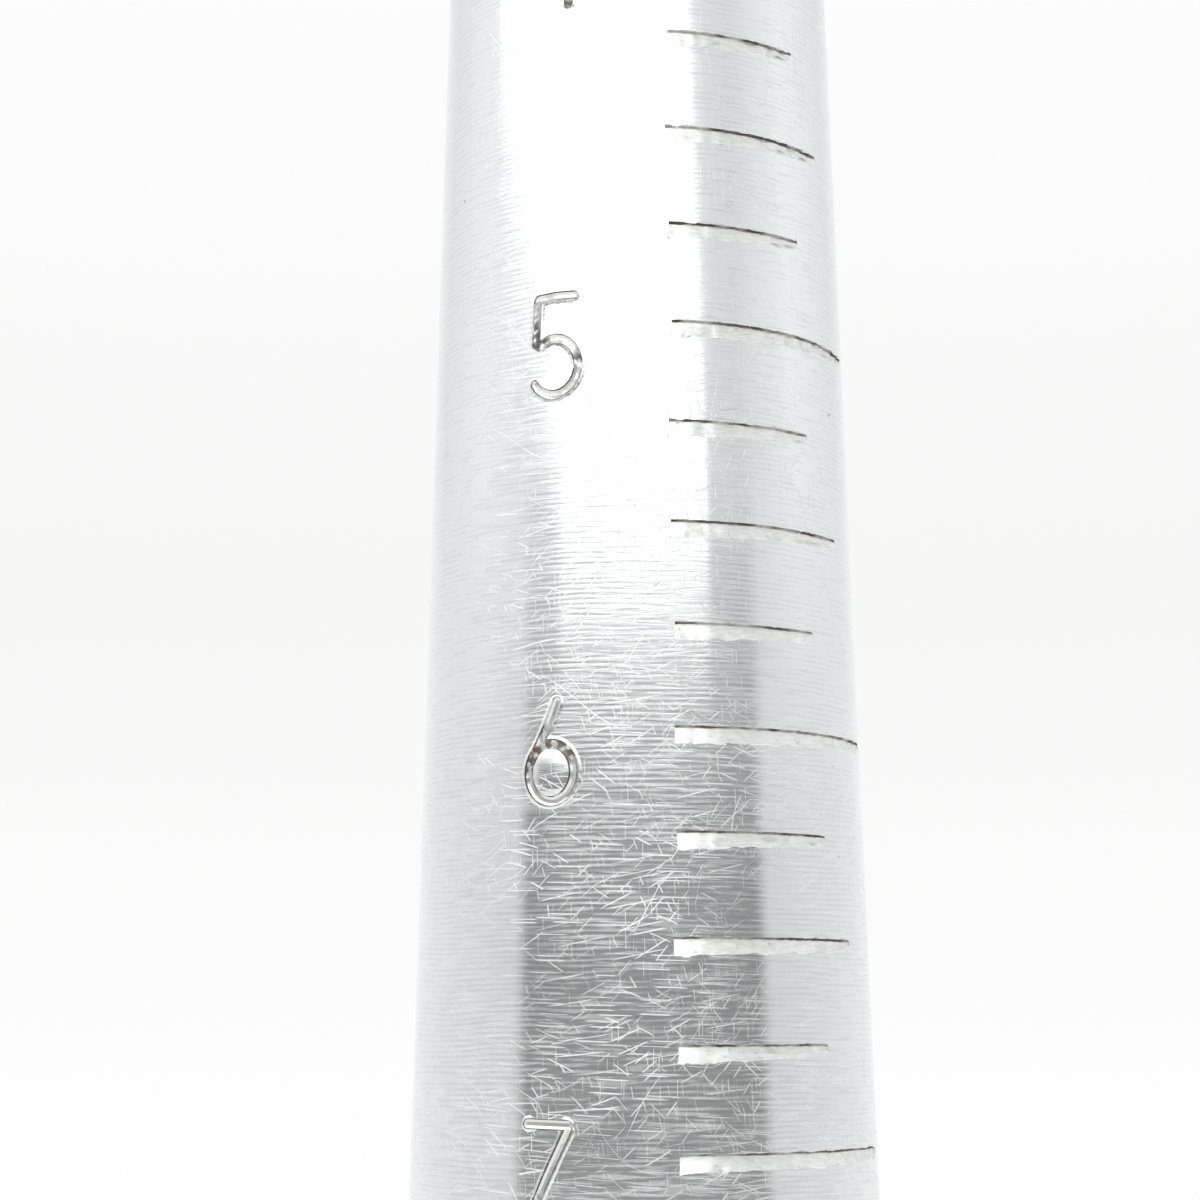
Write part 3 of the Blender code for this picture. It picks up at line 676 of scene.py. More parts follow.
def cut_groove():
    """The size marks' floors: torn by the cutter, with grime and painted shade along the upper wall."""
    material, tree, shader, place = new_finish("cut groove")
    apart = put(tree, "SeparateXYZ", {0: place}).outputs
    quarter = size_pitch / MARKS_PER_SIZE
    below = maths(tree, "DIVIDE", maths(tree, "SUBTRACT", mark_height(FIRST_SIZE), apart[2]), quarter)
    below = maths(tree, "MULTIPLY", maths(tree, "FRACT", below), quarter / MM)
    tear = noise_at(tree, vector_maths(tree, "MULTIPLY", place, (2600.0, 2600.0, 9000.0)), 1.0, 3.0)
    speckle = noise_at(tree, place, 4200.0, 3.0)
    edge = maths(tree, "MULTIPLY_ADD", maths(tree, "SUBTRACT", speckle, 0.5), 0.08, below)
    blotch = eased(tree, noise_at(tree, place, 900.0, 2.0), 0.35, 0.60, 0.45, 0.95)
    # A dark band along each mark's upper wall, in patches: painted shade and grime together. The specks
    # added to it are grime.
    grime_and_shade = maths(tree, "MULTIPLY", eased(tree, edge, 0.05, 0.11, 1.0, 0.0), blotch)
    spots = eased(tree, speckle, 0.64, 0.72, 0.0, 0.25)
    grime_and_shade = maths(tree, "MAXIMUM", grime_and_shade, spots)
    colour = blended(tree, eased(tree, tear, 0.3, 0.7), TORN_DULL, TORN_BRIGHT)
    colour = blended(tree, grime_and_shade, colour, GRIME_AND_SHADE)
    dull = maths(tree, "MULTIPLY_ADD", tear, 0.25, 0.22)
    dull = maths(tree, "MULTIPLY_ADD", grime_and_shade, 0.4, dull, clamp=True)
    metallic = maths(tree, "MULTIPLY_ADD", grime_and_shade, -0.85, 1.0)
    normal = bumped(tree, tear, 0.010 * MM)
    wire(tree, shader, Base_Color=colour, Metallic=metallic, Roughness=dull, Normal=normal)
    return material


def stamped_number():
    """The numbers' strokes: smooth floors from the punch, steep walls darkened with painted shade and
    grime, and packed-in grime.
    """
    material, tree, shader, place = new_finish("stamped number")
    apart = put(tree, "SeparateXYZ", {0: place}).outputs
    outward = put(tree, "CombineXYZ", {0: apart[0], 1: apart[1]}).outputs[0]
    outward = vector_maths(tree, "NORMALIZE", outward)
    facing = put(tree, "NewGeometry").outputs["Normal"]
    level = put(tree, "VectorMath", {0: outward, 1: facing}, operation="DOT_PRODUCT").outputs["Value"]
    patch = noise_at(tree, place, 420.0, 2.0)
    speckle = noise_at(tree, place, 3600.0, 3.0)
    # Every steep wall is darkened, broken up by speckle: painted shade in the strokes, and grime as well.
    # The packed-in patches are grime.
    steep = eased(tree, level, 0.42, 0.82, 1.0, 0.0)
    wall = maths(tree, "MULTIPLY", steep, eased(tree, speckle, 0.2, 0.5, 0.45, 1.0))
    packed = maths(tree, "MULTIPLY", eased(tree, patch, 0.44, 0.60), eased(tree, speckle, 0.36, 0.56))
    grime_and_shade = maths(tree, "MULTIPLY", maths(tree, "MAXIMUM", wall, packed), 0.9)
    colour = blended(tree, grime_and_shade, STAMPED_FLOOR, GRIME_AND_SHADE)
    dull = maths(tree, "MULTIPLY_ADD", grime_and_shade, 0.45, 0.22, clamp=True)
    metallic = maths(tree, "MULTIPLY_ADD", grime_and_shade, -0.85, 1.0)
    normal = bumped(tree, speckle, 0.008 * MM)
    wire(tree, shader, Base_Color=colour, Metallic=metallic, Roughness=dull, Normal=normal)
    return material


gauge = new_object("gauge_taper_turned", turned(gauge_outline(), TAPER_STEPS))
mark_cuts, mark_burrs = mark_shapes()
number_cuts, number_lips = number_shapes()
worked(gauge, mark_burrs, "UNION")
for lip in number_lips:
    worked(gauge, lip, "UNION")
worked(gauge, mark_cuts, "DIFFERENCE")
for stamp in number_cuts:
    worked(gauge, stamp, "DIFFERENCE")
taper_finish = turned_aluminium("turned aluminium", SCRATCHED_RADIUS)
give_finish(gauge.data, (taper_finish, cut_groove(), stamped_number()), 24.0)
dress_taper(gauge.data)
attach(gauge, "root")
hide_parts("gauge_taper")


# ---- Stop collar ------------------------------------------------------------------------------------
# A loose aluminium ring between the taper's shoulder and the ferrule, parted off round bar, rounded at
# both edges, with a V cut round it. The taper clamps it down, and it keeps rings off the ferrule.

COLLAR_BORE = 7.3 * MM
COLLAR_EDGE = 0.9 * MM
COLLAR_GROOVE_WIDTH = 0.5 * MM
COLLAR_GROOVE_DEPTH = 0.22 * MM
COLLAR_BORE_EDGE = 0.25 * MM
COLLAR_STEPS = 160


def stop_collar():
    low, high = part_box("stop_collar")
    radius = high.x
    middle = (low.z + high.z) / 2
    mouth = COLLAR_BORE + COLLAR_BORE_EDGE
    outline = [
        *corner_arc(mouth, high.z - COLLAR_BORE_EDGE, COLLAR_BORE_EDGE, 180, 90, 4),
        *corner_arc(radius - COLLAR_EDGE, high.z - COLLAR_EDGE, COLLAR_EDGE, 90, 0, 8),
        (radius, middle + COLLAR_GROOVE_WIDTH / 2),
        (radius - COLLAR_GROOVE_DEPTH, middle),
        (radius, middle - COLLAR_GROOVE_WIDTH / 2),
        *corner_arc(radius - COLLAR_EDGE, low.z + COLLAR_EDGE, COLLAR_EDGE, 0, -90, 8),
        *corner_arc(mouth, low.z + COLLAR_BORE_EDGE, COLLAR_BORE_EDGE, 270, 180, 4),
    ]
    finish = turned_aluminium("turned collar", radius / MM, pitch=0.25)
    return new_object("stop_collar_turned", turned(outline, COLLAR_STEPS, closed=True), [finish], 32.0)


collar = stop_collar()
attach(collar, "root")
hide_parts("stop_collar")


# ---- Ferrule ----------------------------------------------------------------------------------------
# A cap pressed from thin brass sheet and nickel plated, driven over the handle's nose. Two beads are
# rolled round it to stiffen it, its mouth is rolled over a little, and a pin goes through each side.

FERRULE_WALL = 0.8 * MM
FERRULE_EDGE = 1.0 * MM
FERRULE_BORE = 7.3 * MM
MOUTH_LIP = 0.3 * MM
BEAD_HEIGHT = 0.40 * MM
BEAD_HALF = 0.9 * MM
BEADS = (9.6 * MM, 13.2 * MM)
FERRULE_STEPS = 144
NICKEL_WARM = (0.74, 0.72, 0.68, 1.0)
NICKEL_CLEAN = (0.82, 0.81, 0.78, 1.0)
NICKEL_SPOT = (0.30, 0.26, 0.20, 1.0)
PIN_FROM_MOUTH = 6.0 * MM
PIN_RADIUS = 0.8 * MM
PIN_HOLE_SPARE = 0.12 * MM
PIN_LENGTH = 6.0 * MM
PIN_AZIMUTHS = {"ferrule_pin_right": math.radians(90.0), "ferrule_pin_left": math.radians(-90.0)}

ferrule_low, ferrule_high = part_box("ferrule")
ferrule_radius = ferrule_high.x
pin_height = ferrule_low.z + PIN_FROM_MOUTH


def bead(radius, z, height, half, steps=8):
    """(radius, height) points down a rounded bead that stands this far out of a straight side."""
    turns = [math.pi * i / steps for i in range(steps + 1)]
    return [(radius + height * math.sin(turn) ** 1.5, z + half * math.cos(turn)) for turn in turns]


def pin_hole_tools():
    """Cutters for the two pin holes, from outside the ferrule to just past the pins' points."""
    bm = bmesh.new()
    for azimuth in PIN_AZIMUTHS.values():
        hole = bmesh.new()
        depth = PIN_LENGTH * 1.4
        radius = PIN_RADIUS + PIN_HOLE_SPARE
        bmesh.ops.create_cone(
            hole, cap_ends=True, segments=20, radius1=radius, radius2=radius, depth=depth
        )
        way = on_axis(azimuth, 1.0, 0.0)
        turn = way.to_track_quat("Z", "Y").to_matrix().to_4x4()
        middle = way * (ferrule_radius - PIN_LENGTH * 0.35) + Vector((0, 0, pin_height))
        bmesh.ops.transform(hole, matrix=Matrix.Translation(middle) @ turn, verts=hole.verts)
        append_to(bm, hole)
    return bm


def nickel_plate():
    """Bright nickel over polished brass: draw marks down it, scuffs round it and a few spots."""
    material, tree, shader, place = new_finish("nickel plate")
    values = {"Place": place, "Radius": ferrule_radius / MM}
    cloud = noise_at(tree, place, 130.0, 3.0)
    drawn = noise_at(tree, vector_maths(tree, "MULTIPLY", place, (5000.0, 5000.0, 260.0)), 1.0, 2.0)
    scuff = use(tree, scratches, Angle=8.0, Length=4.0, Spacing=0.5, Width=0.05, Share=0.5, **values)
    nick = use(tree, scratches, Angle=-40.0, Length=3.0, Spacing=1.1, Width=0.06, Share=0.4, **values)
    scratch = maths(tree, "MAXIMUM", scuff, nick)
    spot = use(tree, pits, Place=place, Spacing=2.2, Size=0.16, Share=0.25)
    colour = blended(tree, cloud, NICKEL_WARM, NICKEL_CLEAN)
    colour = blended(tree, maths(tree, "MULTIPLY", spot, 0.6), colour, NICKEL_SPOT)
    dull = maths(tree, "MULTIPLY_ADD", eased(tree, cloud, 0.3, 0.7), 0.10, 0.10)
    dull = maths(tree, "MULTIPLY_ADD", scratch, 0.30, dull)
    dull = maths(tree, "MULTIPLY_ADD", spot, 0.3, dull, clamp=True)
    normal = bumped(tree, drawn, 0.0012 * MM)
    normal = bumped(tree, maths(tree, "MULTIPLY", scratch, -1.0), 0.005 * MM, normal)
    wire(tree, shader, Base_Color=colour, Metallic=1.0, Roughness=dull, Normal=normal)
    return material


def rolled_ferrule():
    inner = ferrule_radius - FERRULE_WALL
    ceiling = ferrule_high.z - FERRULE_WALL
    shoulder_middle = ferrule_radius - FERRULE_EDGE
    outline = [
        (FERRULE_BORE, ferrule_high.z),
        *corner_arc(shoulder_middle, ferrule_high.z - FERRULE_EDGE, FERRULE_EDGE, 90, 0, 8),
    ]
    for above in sorted(BEADS, reverse=True):
        outline += bead(ferrule_radius, ferrule_low.z + above, BEAD_HEIGHT, BEAD_HALF)
    outline += [
        *bead(ferrule_radius, ferrule_low.z + MOUTH_LIP * 2, MOUTH_LIP, MOUTH_LIP * 2),
        (inner + MOUTH_LIP, ferrule_low.z),
        (inner, ferrule_low.z + MOUTH_LIP),
        *corner_arc(inner - MOUTH_LIP, ceiling - MOUTH_LIP, MOUTH_LIP, 0, 90, 4),
        (FERRULE_BORE, ceiling),
    ]
    shell = new_object("ferrule_rolled", turned(outline, FERRULE_STEPS, closed=True))
    worked(shell, pin_hole_tools(), "DIFFERENCE")
    give_finish(shell.data, [nickel_plate()], 34.0)
    return shell


ferrule = rolled_ferrule()
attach(ferrule, "root")
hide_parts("ferrule")


# ---- Ferrule pins -----------------------------------------------------------------------------------
# Two small brass brads, driven through the ferrule into the wood from opposite sides. Each has a drawn
# shank with a cut point and a low domed head, struck flat at its middle by the hammer.

PIN_HEAD_RADIUS = 1.5 * MM
PIN_HEAD_HEIGHT = 0.7 * MM
PIN_HEAD_GAP = 0.05 * MM
PIN_POINT = 1.4 * MM
PIN_STEPS = 32
BRASS_BROWNED = (0.56, 0.38, 0.16, 1.0)
BRASS_RUBBED = (0.84, 0.64, 0.32, 1.0)


def struck_brass():
    """Dull brass, browned in patches, with small hammer marks."""
    material, tree, shader, place = new_finish("struck brass")
    cloud = noise_at(tree, place, 900.0, 3.0)
    colour = blended(tree, eased(tree, cloud, 0.35, 0.65), BRASS_BROWNED, BRASS_RUBBED)
    dull = maths(tree, "MULTIPLY_ADD", cloud, 0.30, 0.16)
    normal = bumped(tree, noise_at(tree, place, 1400.0, 1.0), 0.03 * MM)
    wire(tree, shader, Base_Color=colour, Metallic=1.0, Roughness=dull, Normal=normal)
    return material


def driven_pin(name, azimuth, material):
    seat = ferrule_radius + PIN_HEAD_GAP
    rise = PIN_HEAD_HEIGHT - PIN_HEAD_GAP
    point = ferrule_radius - PIN_LENGTH
    turns = [math.radians(90 - 90 * i / 8) for i in range(1, 9)]
    dome = [
        (PIN_HEAD_RADIUS * math.cos(a), seat + rise * (0.25 + 0.75 * math.sin(a) ** 0.8)) for a in turns
    ]
    outline = [
        (0.0, seat + rise),
        *dome,
        (PIN_HEAD_RADIUS, seat),
        (PIN_RADIUS * 1.15, seat),
        (PIN_RADIUS, seat - PIN_HEAD_GAP * 3),
        (PIN_RADIUS, point + PIN_POINT),
        (PIN_RADIUS * 0.25, point + PIN_HEAD_GAP * 2),
        (0.0, point),
    ]
    bm = turned(outline, PIN_STEPS)
    turn = on_axis(azimuth, 1.0, 0.0).to_track_quat("Z", "Y").to_matrix().to_4x4()
    placing = Matrix.Translation((0, 0, pin_height)) @ turn
    bmesh.ops.transform(bm, matrix=placing, verts=bm.verts)
    pin = new_object(name + "_driven", bm, [material], 40.0)
    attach(pin, "root")
    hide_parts(name)


brass = struck_brass()
for pin_name, pin_azimuth in PIN_AZIMUTHS.items():
    driven_pin(pin_name, pin_azimuth, brass)


# ---- Handle -----------------------------------------------------------------------------------------
# Beech, turned with a shoulder bead, a waist and a full grip, bored through for the stud and counterbored
# for the spigot above and the nut below. Three lines are cut round it and it is sanded and lacquered.

HANDLE_NOSE_RADIUS = 11.5 * MM
HANDLE_NOSE_EDGE = 0.6 * MM
HANDLE_NOSE = 18.2 * MM
HANDLE_SPIGOT_BORE = 7.3 * MM
HANDLE_SPIGOT_GAP = 0.3 * MM
HANDLE_STUD_BORE = 4.3 * MM
NUT_POCKET_RADIUS = 9.0 * MM
NUT_POCKET_DEPTH = 18.0 * MM
GRIP_OUTLINE = ((0.0, 13.6), (0.045, 14.2), (0.15, 13.0), (0.62, 15.9), (1.0, 14.4))
GRIP_STEPS = 18
GRIP_LINES = (12.0 * MM, 52.0 * MM, 56.0 * MM)
GRIP_LINE_WIDTH = 1.2 * MM
GRIP_LINE_DEPTH = 0.5 * MM
BUTT_EDGE = 0.6 * MM
HANDLE_STEPS = 144
BEECH_DARK = (0.56, 0.31, 0.135, 1.0)
BEECH_PALE = (0.70, 0.43, 0.215, 1.0)
BEECH_FIBRE = (0.40, 0.20, 0.08, 1.0)
BEECH_CLOUD = (0.62, 0.33, 0.13, 1.0)
BEECH_FLECK = (0.24, 0.11, 0.045, 1.0)
SCORCHED = (0.10, 0.045, 0.02, 1.0)

handle_low, handle_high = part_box("handle")
handle_shoulder = handle_high.z - HANDLE_NOSE


def grip_radius(z):
    """The grip's outer radius at height z, eased between its beads and its waist."""
    along = (handle_shoulder - z) / (handle_shoulder - handle_low.z)
    for (above, first), (below, second) in pairwise(GRIP_OUTLINE):
        if along <= below:
            share = (along - above) / (below - above)
            return (first + (second - first) * share * share * (3 - 2 * share)) * MM
    return GRIP_OUTLINE[-1][1] * MM


def grip_side():
    """(radius, height) points down the grip, with a rounded V for each turned line."""
    lines = [handle_low.z + up for up in GRIP_LINES]
    bottom = handle_low.z + BUTT_EDGE * 1.5
    steps = GRIP_STEPS * (len(GRIP_OUTLINE) - 1)
    heights = [handle_shoulder + (bottom - handle_shoulder) * i / steps for i in range(steps + 1)]
    points = [
        (grip_radius(z), z)
        for z in heights
        if all(abs(z - line) > GRIP_LINE_WIDTH * 0.8 for line in lines)
    ]
    for line in lines:
        for share in (-0.75, -0.5, -0.4, -0.15, 0, 0.15, 0.4, 0.5, 0.75):
            z = line + share * GRIP_LINE_WIDTH
            sink = max(0.0, 1 - abs(share) * 2) ** 0.8 * GRIP_LINE_DEPTH
            points.append((grip_radius(z) - sink, z))
    return sorted(points, key=lambda point: -point[1])


def lacquered_beech():
    """Beech under lacquer: long grain, growth rings, short dark flecks and lines scorched in turning."""
    material, tree, shader, place = new_finish("lacquered beech")
    long_way = vector_maths(tree, "MULTIPLY", place, (1.0, 1.0, 0.06))
    drift = noise_at(tree, long_way, 60.0, 2.0)
    off_heart = vector_maths(tree, "ADD", long_way, (0.034, 0.012, 0.0))
    apart = put(tree, "SeparateXYZ", {0: off_heart}).outputs
    across = put(tree, "CombineXYZ", {0: apart[0], 1: apart[1]}).outputs[0]
    reach = put(tree, "VectorMath", {0: across}, operation="LENGTH").outputs["Value"]
    reach = maths(tree, "MULTIPLY_ADD", drift, 0.004, reach)
    outwards = put(tree, "CombineXYZ", {0: maths(tree, "MULTIPLY", reach, 900.0)}).outputs[0]
    rings = noise_at(tree, outwards, 1.0, 2.0)
    fibre = noise_at(tree, vector_maths(tree, "MULTIPLY", place, (7000.0, 7000.0, 260.0)), 1.0, 2.0)
    fleck = noise_at(tree, vector_maths(tree, "MULTIPLY", place, (2400.0, 2400.0, 420.0)), 1.0, 1.0)
    fleck = eased(tree, fleck, 0.62, 0.68)
    cloud = noise_at(tree, long_way, 45.0, 2.0)
    colour = blended(tree, eased(tree, rings, 0.3, 0.7), BEECH_DARK, BEECH_PALE)
    grain = maths(tree, "MULTIPLY", eased(tree, fibre, 0.35, 0.7), 0.35)
    colour = blended(tree, grain, colour, BEECH_FIBRE)
    colour = blended(tree, maths(tree, "MULTIPLY", cloud, 0.35), colour, BEECH_CLOUD)
    colour = blended(tree, maths(tree, "MULTIPLY", fleck, 0.65), colour, BEECH_FLECK)
    height = put(tree, "SeparateXYZ", {0: place}).outputs[2]
    scorch = None
    for up in GRIP_LINES:
        away = maths(tree, "ABSOLUTE", maths(tree, "SUBTRACT", height, handle_low.z + up))
        mark = eased(tree, away, GRIP_LINE_WIDTH * 0.3, GRIP_LINE_WIDTH * 0.62, 1.0, 0.0)
        scorch = mark if scorch is None else maths(tree, "MAXIMUM", scorch, mark)
    colour = blended(tree, maths(tree, "MULTIPLY", scorch, 0.8), colour, SCORCHED)
    values = {"Place": place, "Radius": handle_high.x / MM}
    rub = use(tree, scratches, Angle=14.0, Length=6.0, Spacing=1.4, Width=0.08, Share=0.35, **values)
    dent = use(tree, pits, Place=place, Spacing=6.0, Size=0.7, Share=0.18)
    dull = maths(tree, "MULTIPLY_ADD", fibre, 0.12, 0.40)
    normal = bumped(tree, maths(tree, "MULTIPLY", fibre, -1.0), 0.010 * MM)
    knocks = maths(tree, "MULTIPLY", maths(tree, "ADD", dent, rub), -1.0)
    normal = bumped(tree, knocks, 0.06 * MM, normal)
    worn = maths(tree, "MULTIPLY_ADD", eased(tree, cloud, 0.3, 0.7), -0.25, 0.75)
    wire(tree, shader, Base_Color=colour, Roughness=dull, Normal=normal, Coat_Weight=worn)
    wire(tree, shader, Coat_Roughness=0.16, Coat_IOR=1.5)
    return material


def turned_handle():
    pocket_top = handle_low.z + NUT_POCKET_DEPTH
    spigot_floor = spigot_end - HANDLE_SPIGOT_GAP
    butt_radius = grip_radius(handle_low.z + BUTT_EDGE * 1.5)
    outline = [
        (HANDLE_SPIGOT_BORE, handle_high.z),
        (HANDLE_NOSE_RADIUS - HANDLE_NOSE_EDGE, handle_high.z),
        (HANDLE_NOSE_RADIUS, handle_high.z - HANDLE_NOSE_EDGE),
        (HANDLE_NOSE_RADIUS, handle_shoulder),
        (grip_radius(handle_shoulder) - BUTT_EDGE, handle_shoulder),
        *grip_side(),
        *corner_arc(butt_radius - BUTT_EDGE, handle_low.z + BUTT_EDGE, BUTT_EDGE, 0, -90, 5),
        (NUT_POCKET_RADIUS, handle_low.z),
        (NUT_POCKET_RADIUS, pocket_top),
        (HANDLE_STUD_BORE, pocket_top),
        (HANDLE_STUD_BORE, spigot_floor),
        (HANDLE_SPIGOT_BORE, spigot_floor),
    ]
    grip = new_object("handle_turned", turned(outline, HANDLE_STEPS, closed=True))
    worked(grip, pin_hole_tools(), "DIFFERENCE")
    give_finish(grip.data, [lacquered_beech()], 30.0)
    return grip


handle = turned_handle()
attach(handle, "root")
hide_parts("handle")


# ---- Tang stud --------------------------------------------------------------------------------------
# A length of zinc-plated M8 screwed rod, its thread rolled and both ends chamfered. It is screwed up into
# the taper's foot, runs down through the handle and takes the nut that draws the whole tool together.

THREAD_PITCH = 1.25 * MM
THREAD_DEPTH = 0.68 * MM
THREAD_SAMPLES = 8
STUD_CHAMFER = 0.6 * MM
STUD_STEPS = 24
ZINC_BLUE = (0.62, 0.66, 0.72, 1.0)
ZINC_YELLOW = (0.74, 0.71, 0.62, 1.0)
ZINC_BLOOM = (0.46, 0.46, 0.46, 1.0)

stud_low, stud_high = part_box("tang_stud")
stud_radius = stud_high.x


def thread_side(bm, crest):
    """Presses a V thread into the rod's turned side, and leaves its end faces alone."""
    for vert in bm.verts:
        across = Vector((vert.co.x, vert.co.y, 0))
        if across.length < crest - STUD_CHAMFER * 0.2:
            continue
        turn = math.atan2(vert.co.y, vert.co.x) / math.tau
        phase = (vert.co.z / THREAD_PITCH - turn) % 1.0
        depth = min(1.0, abs(phase - 0.5) * 2.3) * THREAD_DEPTH
        vert.co -= across.normalized() * depth


def zinc_plate():
    """Bright zinc on steel: faint yellow and blue cloud, a grainy skin and grey bloom in patches."""
    material, tree, shader, place = new_finish("zinc plate")
    cloud = noise_at(tree, place, 210.0, 2.0)
    grain = noise_at(tree, place, 5200.0, 2.0)
    bloom = eased(tree, noise_at(tree, place, 520.0, 3.0), 0.55, 0.72)
    colour = blended(tree, eased(tree, cloud, 0.3, 0.7), ZINC_BLUE, ZINC_YELLOW)
    colour = blended(tree, maths(tree, "MULTIPLY", bloom, 0.5), colour, ZINC_BLOOM)
    dull = maths(tree, "MULTIPLY_ADD", bloom, 0.22, maths(tree, "MULTIPLY_ADD", grain, 0.12, 0.20))
    normal = bumped(tree, grain, 0.004 * MM)
    wire(tree, shader, Base_Color=colour, Metallic=1.0, Roughness=dull, Normal=normal)
    return material


def screwed_rod():
    top = stud_high.z - STUD_CHAMFER
    bottom = stud_low.z + STUD_CHAMFER
    steps = round((top - bottom) / THREAD_PITCH * THREAD_SAMPLES)
    side = [(stud_radius, top + (bottom - top) * i / steps) for i in range(steps + 1)]
    inner = stud_radius - THREAD_DEPTH - STUD_CHAMFER * 0.3
    outline = [(0.0, stud_high.z), (inner, stud_high.z), *side, (inner, stud_low.z), (0.0, stud_low.z)]
    bm = turned(outline, STUD_STEPS)
    thread_side(bm, stud_radius)
    return new_object("tang_stud_threaded", bm, [zinc], 50.0)


zinc = zinc_plate()
stud = screwed_rod()
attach(stud, "root")
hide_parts("tang_stud")


# ---- Butt washer ------------------------------------------------------------------------------------
# A flat steel washer at the bottom of the nut pocket, so that the nut doesn't sink into the wood. It is
# punched from sheet, which rounds one edge of the rim and of the hole, and zinc plated.

PUNCHED_EDGE = 0.28 * MM
WASHER_BORE = 4.3 * MM
WASHER_STEPS = 72


def butt_washer():
    low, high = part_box("butt_washer")
    outline = [
        *corner_arc(WASHER_BORE + PUNCHED_EDGE, high.z - PUNCHED_EDGE, PUNCHED_EDGE, 180, 90, 4),
        *corner_arc(high.x - PUNCHED_EDGE, high.z - PUNCHED_EDGE, PUNCHED_EDGE, 90, 0, 4),
        (high.x, low.z),
        (WASHER_BORE, low.z),
    ]
    return new_object("butt_washer_punched", turned(outline, WASHER_STEPS, closed=True), [zinc], 36.0)


washer = butt_washer()
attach(washer, "root")
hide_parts("butt_washer")


# ---- Spring washer ----------------------------------------------------------------------------------
# A turn of square steel wire with its corners rounded, coiled, cut on the slant and sprung a little out
# of flat, so that it bites into the nut and the washer and keeps the nut from working loose.

COIL_SPRING = 0.18 * MM
COIL_CORNER = 0.25 * MM
COIL_SLIT = math.radians(14.0)
COIL_SLANT = math.radians(35.0)
COIL_STEPS = 70


def spring_washer():
    low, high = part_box("spring_washer")
    radius = high.x
    inner = WASHER_BORE
    corners = (
        (radius, high.z, 90, 0),
        (radius, low.z, 0, -90),
        (inner, low.z, 270, 180),
        (inner, high.z, 180, 90),
    )
    section = []
    for edge, z, start, end in corners:
        inward = COIL_CORNER if edge == inner else -COIL_CORNER
        upward = COIL_CORNER if z == low.z else -COIL_CORNER
        section += corner_arc(edge + inward, z + upward, COIL_CORNER, start, end, 3)
    bm = bmesh.new()
    face = bm.faces.new([bm.verts.new((reach, 0, z)) for reach, z in section])
    bmesh.ops.rotate(bm, matrix=Matrix.Rotation(COIL_SLIT / 2, 3, "Z"), verts=bm.verts)
    bmesh.ops.spin(
        bm,
        geom=[face, *face.edges, *face.verts],
        cent=(0, 0, 0),
        axis=(0, 0, 1),
        angle=math.tau - COIL_SLIT,
        steps=COIL_STEPS,
        dvec=(0, 0, COIL_SPRING / COIL_STEPS),
    )
    middle = (low.z + high.z) / 2
    for vert in bm.verts:
        vert.co.z -= COIL_SPRING / 2
        slant = (vert.co.z - middle) * math.tan(COIL_SLANT) / radius
        vert.co = Matrix.Rotation(slant, 3, "Z") @ vert.co
    return new_object("spring_washer_coiled", bm, [zinc], 40.0)


lock_washer = spring_washer()
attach(lock_washer, "root")
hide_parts("spring_washer")


# ---- Butt nut ---------------------------------------------------------------------------------------
# A steel hexagon nut, cold forged, its corners turned off at both faces and its hole countersunk. It is
# run up the stud in the pocket with a box spanner.

NUT_ACROSS_FLATS = 13.0 * MM
NUT_BORE = 4.3 * MM
NUT_COUNTERSINK = 0.35 * MM
NUT_CHAMFER = 0.7 * MM
NUT_FACE_INSET = 0.2 * MM
NUT_CORNER = 0.25 * MM
NUT_STEPS = 96


def butt_nut():
    low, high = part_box("butt_nut")
    flat_radius = NUT_ACROSS_FLATS / 2
    corner = flat_radius / math.cos(math.pi / 6)
    height = high.z - low.z
    outline = [
        (NUT_BORE, high.z - NUT_COUNTERSINK),
        (NUT_BORE + NUT_COUNTERSINK, high.z),
        (flat_radius - NUT_FACE_INSET, high.z),
        (corner + CUT_MARGIN, high.z - NUT_CHAMFER - CUT_MARGIN * 0.5),
        (corner + CUT_MARGIN, low.z + NUT_CHAMFER + CUT_MARGIN * 0.5),
        (flat_radius - NUT_FACE_INSET, low.z),
        (NUT_BORE + NUT_COUNTERSINK, low.z),
        (NUT_BORE, low.z + NUT_COUNTERSINK),
    ]
    nut = new_object("butt_nut_forged", turned(outline, NUT_STEPS, closed=True))
    hexagon = bmesh.new()
    bmesh.ops.create_cone(
        hexagon, cap_ends=True, segments=6, radius1=corner, radius2=corner, depth=height + CUT_MARGIN
    )
    uprights = [
        edge for edge in hexagon.edges if abs(edge.verts[0].co.z - edge.verts[1].co.z) > height / 2
    ]
    bmesh.ops.bevel(
        hexagon,
        geom=uprights,
        offset=NUT_CORNER,
        offset_type="OFFSET",
        segments=3,
        profile=0.5,
        affect="EDGES",
        material=-1,
    )
    bmesh.ops.translate(hexagon, vec=(0, 0, (low.z + high.z) / 2), verts=hexagon.verts)
    worked(nut, hexagon, "INTERSECT")
    give_finish(nut.data, [zinc], 22.0)
    return nut


nut = butt_nut()
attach(nut, "root")
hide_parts("butt_nut")


# ---- Butt cap ---------------------------------------------------------------------------------------
# A turned aluminium plug, tapped into the nut pocket after the nut is tight. Its flange covers the wood,
# and its face is what the tool stands on: faced off flat, with a line near the rim and a centre pip.

CAP_EDGE = 0.7 * MM
CAP_FLANGE = 3.0 * MM
CAP_SPIGOT_RADIUS = 8.7 * MM
CAP_LINE_INSET = 2.2 * MM
CAP_LINE_WIDTH = 0.6 * MM
CAP_LINE_DEPTH = 0.25 * MM
CAP_PIP_RADIUS = 0.7 * MM
CAP_STEPS = 144


